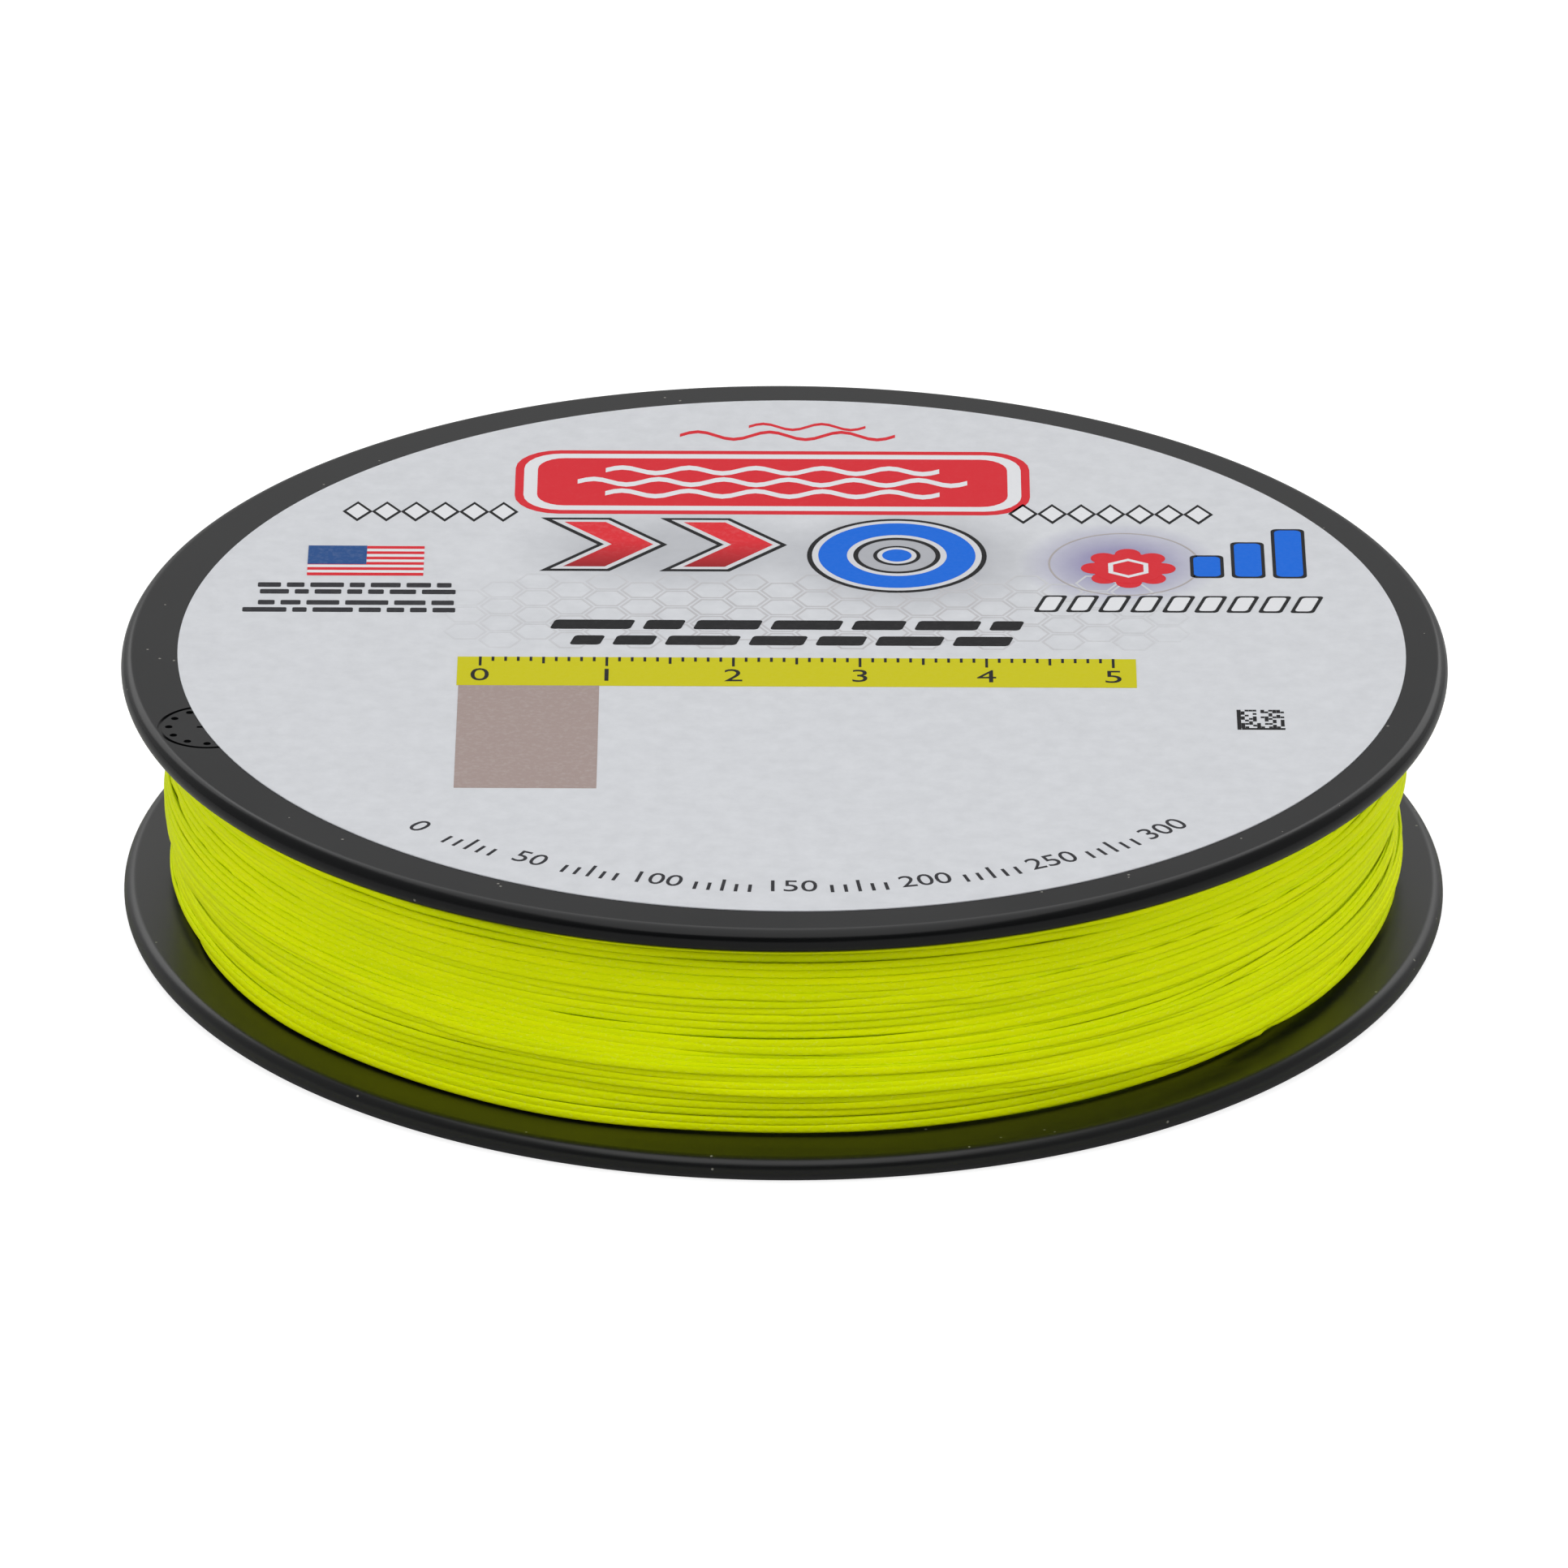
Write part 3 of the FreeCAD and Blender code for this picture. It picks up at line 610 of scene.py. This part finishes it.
def wind_layer(turn_mesh, path, number, material):
    """Copies the plain turn for a whole layer and lays each ring of it on the path."""
    bm = bmesh.new()
    for turn in range(TURNS):
        before = len(bm.verts)
        bm.from_mesh(turn_mesh)
        step_of = bm.verts.layers.int["step"]
        side_of = bm.verts.layers.int["side"]
        bm.verts.ensure_lookup_table()
        for vert in bm.verts[before:]:
            angle, radius, height = path[turn * STEPS + vert[step_of]]
            side = math.tau * vert[side_of] / SIDES
            out = radius + STRAND_HEIGHT / 2 * math.cos(side)
            up = height + STRAND_WIDTH / 2 * math.sin(side)
            vert.co = (out * math.cos(angle), out * math.sin(angle), up)
    unwrapped = bm.loops.layers.uv.active
    per_turn = STEPS * SIDES
    for index, face in enumerate(bm.faces):
        for corner in face.loops:
            corner[unwrapped].uv.x += index // per_turn
    bmesh.ops.remove_doubles(bm, verts=bm.verts[:], dist=0.00001 * MM)
    bmesh.ops.holes_fill(bm, edges=[edge for edge in bm.edges if edge.is_boundary], sides=0)
    bmesh.ops.recalc_face_normals(bm, faces=bm.faces[:])
    mesh = bpy.data.meshes.new(f"line_turns_{number}")
    bm.to_mesh(mesh)
    bm.free()
    shade_smooth(mesh)
    return keep_mesh(mesh, f"line_turns_{number}", material)


def make_line():
    """The outer turns of line, over a plain core that closes the gaps between them."""
    braid = braided_polyethylene()
    turn_mesh = plain_turn()
    for number, path in enumerate(lay_turns(), start=1):
        layer = wind_layer(turn_mesh, path, number, braid)
    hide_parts("line_outer_layer")
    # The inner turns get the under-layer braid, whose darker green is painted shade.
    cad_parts["line_inner_layers"].data.materials.clear()
    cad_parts["line_inner_layers"].data.materials.append(braid_under_layers())
    make_line_core()


def make_line_core():
    """The turns under the ones that show, as one ring: a section spun round the axis."""
    bm = bmesh.new()
    depth = (LAYERS - 1) * LAYER_RISE * STRAND_HEIGHT
    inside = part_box("line_inner_layers")[1].x
    outline = [Vector((inside, 0, LINE_BOTTOM)), Vector((inside, 0, LINE_TOP))]
    for number in range(CORE_POINTS + 1):
        height = LINE_TOP + (LINE_BOTTOM - LINE_TOP) * number / CORE_POINTS
        outline.append(Vector((max(inside + 0.05 * MM, line_surface(0, height) - depth), 0, height)))
    verts = [bm.verts.new(point) for point in outline]
    edges = [bm.edges.new((verts[spot - 1], verts[spot])) for spot in range(len(verts))]
    bmesh.ops.spin(bm, geom=verts + edges, axis=(0, 0, 1), cent=(0, 0, 0), angle=math.tau,
                   steps=CORE_AROUND, use_merge=True)
    bmesh.ops.remove_doubles(bm, verts=bm.verts[:], dist=0.001 * MM)
    bmesh.ops.recalc_face_normals(bm, faces=bm.faces[:])
    # The core's darker green is painted shade for the gaps between the outer turns.
    keep_piece(bm, "line_core", bpy.data.materials["braid_under_layers"])


# ---------------------------------------------------------------------------------------------------
# The label and its print. Places on it are in millimetres from its centre, X to the right, Y upwards.

PRINT_STEP = 0.008
PRINT_GAP = 0.001
SHEET_TOP = LABEL_TOP / MM - 0.045
GRADIENT_TOP = 20.6
GRADIENT_BOTTOM = 15.0
PATTERN_MIDDLE = (2.0, 6.0)
PATTERN_REACH = (34.0, 20.0)
PATTERN_TOP = 13.5
RULER_TOP = -2.1
CHEVRONS = (-20.2, -10.6)
RING_CENTRE = (8.4, 17.7)
GAUGE_CENTRE = (26.9, 15.4)
SOFT_PRINT = [
    # centre, radii, strength, tint: the soft shadows behind the big shapes and the tint round the gauge
    ((-9.6, 18.6), (14.0, 8.6), 0.42, "#8d8f96"),
    ((9.4, 16.8), (11.5, 11.0), 0.55, "#84868e"),
    ((26.2, 16.2), (8.2, 8.2), 0.75, "#7d76a6"),
]


def flat(bm, geometry, centre, turn=0.0):
    """Turns flat geometry about Z and puts it at a place on the label."""
    verts = [item for item in geometry if isinstance(item, bmesh.types.BMVert)]
    bmesh.ops.rotate(bm, verts=verts, matrix=Matrix.Rotation(turn, 3, "Z"))
    bmesh.ops.translate(bm, verts=verts, vec=(centre[0], centre[1], 0))


def add_bar(bm, centre, width, height, lean=0.0, turn=0.0, corner=0.0, waves=0, swing=0.0):
    """A bar, which may lean, turn, have round corners or run in waves."""
    parts = 8 * waves if waves else 1
    made = bmesh.ops.create_grid(bm, x_segments=parts, y_segments=1, size=0.5)["verts"]
    for vert in made:
        wave = swing * math.sin(math.tau * waves * (vert.co.x + 0.5))
        vert.co = (vert.co.x * width + lean * vert.co.y * height, vert.co.y * height + wave, 0)
    flat(bm, made, centre, turn)
    if corner:
        bmesh.ops.bevel(bm, geom=made, offset=corner, segments=6, profile=0.5, affect="VERTICES",
                        material=-1)


def add_disc(bm, centre, radius, segments=64):
    """A flat disc."""
    made = bmesh.ops.create_circle(bm, cap_ends=True, segments=segments, radius=radius)["verts"]
    flat(bm, made, centre)


def add_ring(bm, centre, outer, inner, segments=72, turn=0.0, stretch=1.0):
    """A flat ring. With four or six segments it is a diamond or a honeycomb cell."""
    rims = []
    for radius in (outer, inner):
        rims += bmesh.ops.create_circle(bm, segments=segments, radius=radius)["verts"]
    edges = list({edge for vert in rims for edge in vert.link_edges})
    bmesh.ops.bridge_loops(bm, edges=edges)
    for vert in rims:
        vert.co.x *= stretch
    flat(bm, rims, centre, turn)


def add_chevron(bm, left, middle, width, height, depth):
    """A bar folded at its middle, so that it points right."""
    made = bmesh.ops.create_grid(bm, x_segments=1, y_segments=2, size=0.5)["verts"]
    for vert in made:
        vert.co = (vert.co.x * width + depth * (1 - 2 * abs(vert.co.y)), vert.co.y * height, 0)
    flat(bm, made, (left + width / 2, middle))


def shrink(bm, amount):
    """Takes a border off every face."""
    border = bmesh.ops.inset_region(bm, faces=bm.faces[:], thickness=amount, use_even_offset=True,
                                    use_boundary=True)
    bmesh.ops.delete(bm, geom=border["faces"], context="FACES")


def add_number(bm, text, centre, size, turn=0.0):
    """A plain number, from the built-in font."""
    letters = bpy.data.curves.new("number", "FONT")
    letters.body = text
    letters.size = size
    letters.align_x = "CENTER"
    letters.align_y = "CENTER"
    letters.resolution_u = 4
    holder = bpy.data.objects.new("number", letters)
    mesh = bpy.data.meshes.new_from_object(holder)
    before = len(bm.verts)
    bm.from_mesh(mesh)
    bm.verts.ensure_lookup_table()
    flat(bm, bm.verts[before:], centre, turn)
    bpy.data.objects.remove(holder)
    bpy.data.curves.remove(letters)
    bpy.data.meshes.remove(mesh)


def print_ink(bm, name, ink, level):
    """Gives flat shapes the thickness of a print, lays them on the label and keeps them as a piece."""
    bmesh.ops.recalc_face_normals(bm, faces=bm.faces[:])
    for face in bm.faces:
        if face.normal.z < 0:
            face.normal_flip()
    bmesh.ops.translate(bm, verts=bm.verts[:], vec=(0, 0, SHEET_TOP + PRINT_GAP))
    body = bmesh.ops.extrude_face_region(bm, geom=bm.faces[:], use_keep_orig=True)["geom"]
    top = [item for item in body if isinstance(item, bmesh.types.BMVert)]
    bmesh.ops.translate(bm, verts=top, vec=(0, 0, PRINT_STEP * level))
    bmesh.ops.recalc_face_normals(bm, faces=bm.faces[:])
    bmesh.ops.scale(bm, verts=bm.verts[:], vec=(MM, MM, MM))
    bmesh.ops.translate(bm, verts=bm.verts[:], vec=LABEL_CENTRE)
    keep_piece(bm, name, ink)


def make_label():
    """The label's sheet, a thin disc that stands for the frame's own."""
    bm = bmesh.new()
    disc = bmesh.ops.create_circle(bm, cap_ends=True, segments=256, radius=LABEL_RADIUS)["verts"]
    bmesh.ops.translate(bm, verts=disc, vec=(LABEL_CENTRE.x, LABEL_CENTRE.y, LABEL_BACK))
    body = bmesh.ops.extrude_face_region(bm, geom=bm.faces[:], use_keep_orig=True)["geom"]
    top = [item for item in body if isinstance(item, bmesh.types.BMVert)]
    bmesh.ops.translate(bm, verts=top, vec=(0, 0, SHEET_TOP * MM - LABEL_BACK))
    bmesh.ops.recalc_face_normals(bm, faces=bm.faces[:])
    sheet = keep_piece(bm, "label_sheet", coated_paper("label_paper"))
    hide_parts("front_label")


def make_honeycomb():
    """A faint honeycomb behind the middle of the label."""
    cell = 1.86
    line = 0.11
    across = cell * 1.5
    down = cell * math.sqrt(3)
    bm = bmesh.new()
    for column in range(-10, 11):
        for row in range(-6, 7):
            x = column * across + PATTERN_MIDDLE[0]
            y = (row + 0.5 * (column % 2)) * down + PATTERN_MIDDLE[1]
            inside = ((x - PATTERN_MIDDLE[0]) / 30) ** 2 + ((y - PATTERN_MIDDLE[1]) / 16) ** 2 < 1
            if inside and RULER_TOP + cell < y < PATTERN_TOP:
                add_ring(bm, (x, y), cell - line, cell - 3 * line, 6, math.pi / 6)
    print_ink(bm, "print_honeycomb", coated_paper("label_honeycomb", depth=0.33), 1)


def word_bars(bm, draw, left, right, height, size, lean=0.0):
    """A row of short bars of uneven length between two places."""
    spot = left
    while spot < right - size:
        length = min(draw.uniform(1.2, 4.2) * size, right - spot)
        add_bar(bm, (spot + length / 2, height), length, size, lean, corner=0.18 * size)
        spot += length + 0.55 * size


def make_band(red, white):
    """The red band at the top, in a thin frame, with white waves in it and two red ones above."""
    rounds = (("_frame", 41.6, 12.6, 3.6, red), ("_gap", 40.2, 11.2, 3.0, white), ("", 38.0, 9.4, 2.2, red))
    for level, (part, width, height, corner, ink) in enumerate(rounds, start=2):
        bm = bmesh.new()
        add_bar(bm, (-1.6, 32.0), width, height, corner=corner)
        print_ink(bm, f"print_band{part}", ink, level)
    waves = bmesh.new()
    for row, (length, count) in enumerate(((27.0, 5), (31.5, 6), (27.0, 5))):
        add_bar(waves, (-1.6, 34.3 - 2.3 * row), length, 0.85, waves=count, swing=0.55)
    print_ink(waves, "print_band_waves", white, 5)
    crest = bmesh.new()
    add_bar(crest, (-0.4, 41.4), 17.5, 0.55, waves=3, swing=0.75)
    add_bar(crest, (1.2, 43.2), 9.5, 0.45, waves=2, swing=0.6)
    print_ink(crest, "print_crest", red, 3)


def make_chevrons(red, silver, black):
    """Two red chevrons with a silver edge and a black outline."""
    for number, (ink, inset) in enumerate(((black, 0.0), (silver, 0.4), (red, 0.85)), start=1):
        bm = bmesh.new()
        for left in CHEVRONS:
            add_chevron(bm, left, 19.7, 5.6, 10.4, 4.6)
        if inset:
            shrink(bm, inset)
        print_ink(bm, f"print_chevrons_{number}", ink, number + 1)


def make_rings(blue, silver, black):
    """A blue ring, like a spool seen from its end, with a silver edge and a black outline."""
    for number, (ink, inset) in enumerate(((black, 0.0), (silver, 0.4), (blue, 0.9)), start=1):
        bm = bmesh.new()
        add_ring(bm, RING_CENTRE, 7.2 - inset, 3.1 + inset)
        add_disc(bm, RING_CENTRE, 1.9 - 0.8 * inset)
        print_ink(bm, f"print_ring_{number}", ink, number + 1)


def make_stripes(blue, red, white):
    """A plain striped block at the left: red and white stripes beside a blue field."""
    bm = bmesh.new()
    add_bar(bm, (-34.1, 16.3), 9.3, 5.7)
    print_ink(bm, "print_stripes_ground", white, 2)
    bm = bmesh.new()
    for row in range(6):
        add_bar(bm, (-34.1, 18.9 - 1.04 * row), 9.3, 0.52)
    print_ink(bm, "print_stripes", red, 3)
    bm = bmesh.new()
    add_bar(bm, (-36.4, 17.4), 4.7, 3.6)
    print_ink(bm, "print_stripes_field", blue, 4)


def make_section_mark(red, white, blue, black):
    """A round section in red and white on its tinted spot, and three blue bars of growing height."""
    bm = bmesh.new()
    for number in range(8):
        around = math.tau * number / 8
        spot = (GAUGE_CENTRE[0] + 2.75 * math.cos(around), GAUGE_CENTRE[1] + 2.75 * math.sin(around))
        add_disc(bm, spot, 1.04, 24)
    print_ink(bm, "print_section_strands", red, 2)
    bm = bmesh.new()
    add_disc(bm, GAUGE_CENTRE, 2.9)
    print_ink(bm, "print_section", red, 3)
    bm = bmesh.new()
    add_ring(bm, GAUGE_CENTRE, 1.85, 1.4, 6)
    print_ink(bm, "print_section_core", white, 4)
    bm = bmesh.new()
    add_ring(bm, (26.6, 16.2), 6.1, 5.95)
    print_ink(bm, "print_section_rim", printing_ink("ink_warm_grey", "#a9a2a0"), 2)
    for number, (ink, inset) in enumerate(((black, 0.0), (blue, 0.28)), start=1):
        bm = bmesh.new()
        for step in range(3):
            tall = 4.4 + 2.6 * step
            add_bar(bm, (33.2 + 3.3 * step, 13.6 + tall / 2), 2.7 - 2 * inset, tall - 2 * inset, corner=0.5)
        print_ink(bm, f"print_bars_{number}", ink, number + 1)


def make_marks(white, black):
    """Outlined diamonds left and right of the band, and outlined leaning bars under the section mark."""
    outline = bmesh.new()
    filling = bmesh.new()
    for first, count in ((-35.0, 6), (18.6, 7)):
        for number in range(count):
            spot = (first + 2.35 * number, 26.0)
            add_ring(outline, spot, 1.95, 1.4, 4, stretch=0.62)
            add_ring(filling, spot, 1.45, 0.05, 4, stretch=0.62)
    for number in range(9):
        spot = (20.6 + 2.55 * number, 8.5)
        for bm, inset in ((outline, 0.0), (filling, 0.3)):
            add_bar(bm, spot, 1.9 - 2 * inset, 3.2 - 2 * inset, lean=0.28, corner=0.3)
    print_ink(outline, "print_marks_outline", black, 2)
    print_ink(filling, "print_marks", white, 3)


def make_small_print(dark, black):
    """Rows of small bars: four at the left, two heavier ones in the middle."""
    draw = random.Random(7)
    bm = bmesh.new()
    rows = ((11.6, -42.6, -26.6), (10.3, -42.4, -26.8), (8.2, -42.5, -26.9), (6.8, -43.7, -25.6))
    for height, left, right in rows:
        word_bars(bm, draw, left, right, height, 0.85)
    print_ink(bm, "print_small_rows", dark, 2)
    bm = bmesh.new()
    for height, left, right in ((4.2, -19.0, 20.0), (1.2, -17.4, 18.6)):
        word_bars(bm, draw, left, right, height, 1.75, 0.25)
    print_ink(bm, "print_rows", black, 2)


def make_ruler(green, black):
    """A chartreuse ruler with plain numbers, in centimetres."""
    bm = bmesh.new()
    add_bar(bm, (0.4, -4.8), 53.6, 5.4)
    print_ink(bm, "print_ruler", green, 3)
    marks = bmesh.new()
    for step in range(51):
        tall = 1.7 if step % 10 == 0 else 1.25 if step % 5 == 0 else 0.8
        add_bar(marks, (-24.6 + step, RULER_TOP - tall / 2), 0.22, tall)
    for number in range(6):
        add_number(marks, str(number), (-24.6 + 10 * number, -5.6), 3.3)
    print_ink(marks, "print_ruler_marks", black, 4)


def make_patch_and_grid(black):
    """The sample patch under the ruler, and a small grid of squares that says nothing."""
    patch = printing_ink("ink_taupe", "#a08f8a", speckle=0.1)
    bm = bmesh.new()
    add_bar(bm, (-20.7, -17.0), 11.1, 19.2)
    print_ink(bm, "print_colour_patch", patch, 2)
    draw = random.Random(3)
    bm = bmesh.new()
    pitch = 0.31
    square = 0.94 * pitch
    for column in range(1, 12):
        for row in range(1, 12):
            if draw.random() < 0.55:
                add_bar(bm, (35.1 + pitch * column, -15.1 + pitch * row), square, square)
    add_bar(bm, (35.1, -13.4), pitch, 3.7)
    add_bar(bm, (37.0, -15.1), 3.4, pitch)
    print_ink(bm, "print_grid", black, 2)


def make_arc_scale(dark):
    """A scale of plain numbers that follows the label's lower edge, with ticks between them."""
    bm = bmesh.new()
    first = 229.5
    spread = 81.0
    steps = 60
    for step in range(steps + 1):
        angle = math.radians(first + spread * step / steps)
        place = Vector((math.cos(angle), math.sin(angle)))
        if step % 10 == 0:
            add_number(bm, str(step * 5), place * 44.3, 2.8, angle + math.pi / 2)
        elif 3 <= step % 10 <= 7:
            tall = 2.0 if step % 5 == 0 else 1.3
            add_bar(bm, place * (45.4 - tall / 2), tall, 0.27, turn=angle)
    print_ink(bm, "print_arc_scale", dark, 2)


def make_print():
    """The inks, and all that is printed with them."""
    red = printing_ink("ink_red", "#d3202d", speckle=0.02)
    deep_red = printing_ink("ink_red_graded", "#d9242f", "#8e1019")
    blue = printing_ink("ink_blue", "#0066d6", speckle=0.0)
    black = printing_ink("ink_black", "#121215", speckle=0.02)
    dark = printing_ink("ink_dark", "#26262b", speckle=0.03)
    white = printing_ink("ink_white", "#dddee1")
    silver = printing_ink("ink_silver", "#cfd0d4")
    green = printing_ink("ink_chartreuse", "#c6c000", speckle=0.0)
    make_honeycomb()
    make_band(red, white)
    make_chevrons(deep_red, silver, black)
    make_rings(blue, silver, black)
    make_stripes(printing_ink("ink_navy", "#1c4a86"), red, white)
    make_section_mark(red, white, blue, black)
    make_marks(white, black)
    make_small_print(dark, black)
    make_ruler(green, black)
    make_patch_and_grid(black)
    make_arc_scale(dark)


# ---------------------------------------------------------------------------------------------------
# Studio

FLOOR_RADIUS = 8.0
FLOOR_GAP = 0.02 * MM
FLOOR_OPENING = 0.95 * RIM_RADIUS
FLOOR_GLOW = 0.8

# The room's brightness in front of the spool, around it, behind it and below it
FRONT_LIGHT = 0.05
ROOM_LIGHT = 0.25
BACK_LIGHT = 0.5
LOWER_LIGHT = 0.9


def make_floor():
    """A pale floor, plain white to the camera where no shadow lies. It isn't seen from below, and it is
    open under the spool, so that light reaches the recess."""
    material, tree, shader = new_material("floor", {
        "Base Color": colour("#b4b4b4"), "Roughness": 1.0, "Specular IOR Level": 0.0,
        "Emission Color": (1, 1, 1, 1)})
    seen = node(tree, "ShaderNodeLightPath", {}).outputs["Is Camera Ray"]
    glow = node(tree, "ShaderNodeMath", {0: seen, 1: FLOOR_GLOW}, operation="MULTIPLY")
    fill(tree, shader, {"Emission Strength": glow})
    below = node(tree, "ShaderNodeNewGeometry", {}).outputs["Backfacing"]
    clear = node(tree, "ShaderNodeBsdfTransparent", {})
    shown = node(tree, "ShaderNodeMixShader", {0: below, 1: shader, 2: clear})
    fill(tree, tree.nodes["Material Output"], {"Surface": shown})
    bm = bmesh.new()
    for radius in (FLOOR_RADIUS, FLOOR_OPENING):
        bmesh.ops.create_circle(bm, segments=96, radius=radius)
    bmesh.ops.bridge_loops(bm, edges=bm.edges[:])
    bmesh.ops.translate(bm, verts=bm.verts[:], vec=(0, 0, -FLOOR_GAP))
    for face in bm.faces:
        if face.normal.z < 0:
            face.normal_flip()
    mesh = bpy.data.meshes.new("floor")
    bm.to_mesh(mesh)
    bm.free()
    mesh.materials.append(material)
    floor = bpy.data.objects.new("floor", mesh)
    bpy.context.scene.collection.objects.link(floor)


def make_world():
    """An even pale room, lighter behind the object, and plain white to the camera."""
    world = bpy.data.worlds.new("studio")
    bpy.context.scene.world = world
    world.use_nodes = True
    tree = world.node_tree
    tree.nodes.clear()
    direction = node(tree, "ShaderNodeTexCoord", {}).outputs["Generated"]
    axes = node(tree, "ShaderNodeSeparateXYZ", {0: direction})
    side = node(tree, "ShaderNodeMapRange", {
        "Value": axes.outputs["Y"], "From Min": -0.9, "From Max": -0.1,
        "To Min": FRONT_LIGHT, "To Max": ROOM_LIGHT})
    behind = node(tree, "ShaderNodeMapRange", {
        "Value": axes.outputs["Y"], "From Min": 0.3, "From Max": 0.9, "To Max": BACK_LIGHT - ROOM_LIGHT})
    under = node(tree, "ShaderNodeMapRange", {
        "Value": axes.outputs["Z"], "From Min": -0.1, "From Max": -0.6, "To Max": LOWER_LIGHT})
    room = node(tree, "ShaderNodeMath", {0: side, 1: behind}, operation="ADD")
    room = node(tree, "ShaderNodeMath", {0: room, 1: under}, operation="ADD")
    seen = node(tree, "ShaderNodeLightPath", {}).outputs["Is Camera Ray"]
    strength = node(tree, "ShaderNodeMix", {0: seen, 2: room, 3: 1.0})
    background = node(tree, "ShaderNodeBackground", {"Color": (1, 1, 1, 1), "Strength": strength})
    node(tree, "ShaderNodeOutputWorld", {"Surface": background})


def add_softbox(name, place, size, radiance, mirrored=True):
    """A soft square light aimed at the object. mirrored=False keeps it out of reflections."""
    lamp = bpy.data.lights.new(name, "AREA")
    lamp.shape = "RECTANGLE"
    lamp.size, lamp.size_y = size
    lamp.energy = radiance * math.pi * size[0] * size[1]
    holder = bpy.data.objects.new(name, lamp)
    bpy.context.scene.collection.objects.link(holder)
    holder.location = place
    holder.rotation_mode = "QUATERNION"
    holder.rotation_quaternion = (CAMERA_TARGET - Vector(place)).to_track_quat("-Z", "Y")
    holder.visible_camera = False
    holder.visible_glossy = mirrored


def make_studio():
    """The floor, the room and five softboxes: one overhead, two in front and two behind."""
    make_floor()
    make_world()
    add_softbox("overhead", (0, 0, 0.42), (0.5, 1.0), 1.1)
    for side in (-1, 1):
        add_softbox(f"front_{side}", (0.84 * side, -0.50, 0.27), (0.6, 0.6), 4.0, mirrored=False)
        add_softbox(f"back_{side}", (0.42 * side, 0.72, 0.47), (0.45, 0.45), 0.95)


# ---------------------------------------------------------------------------------------------------

make_camera()
make_front_half()
make_rear_half()
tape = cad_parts["start_tape"]
tape.data.materials.clear()
tape.data.materials.append(tape_film())
make_line()
make_label()
make_print()
make_studio()

scene = bpy.context.scene
scene.view_settings.view_transform = "Standard"
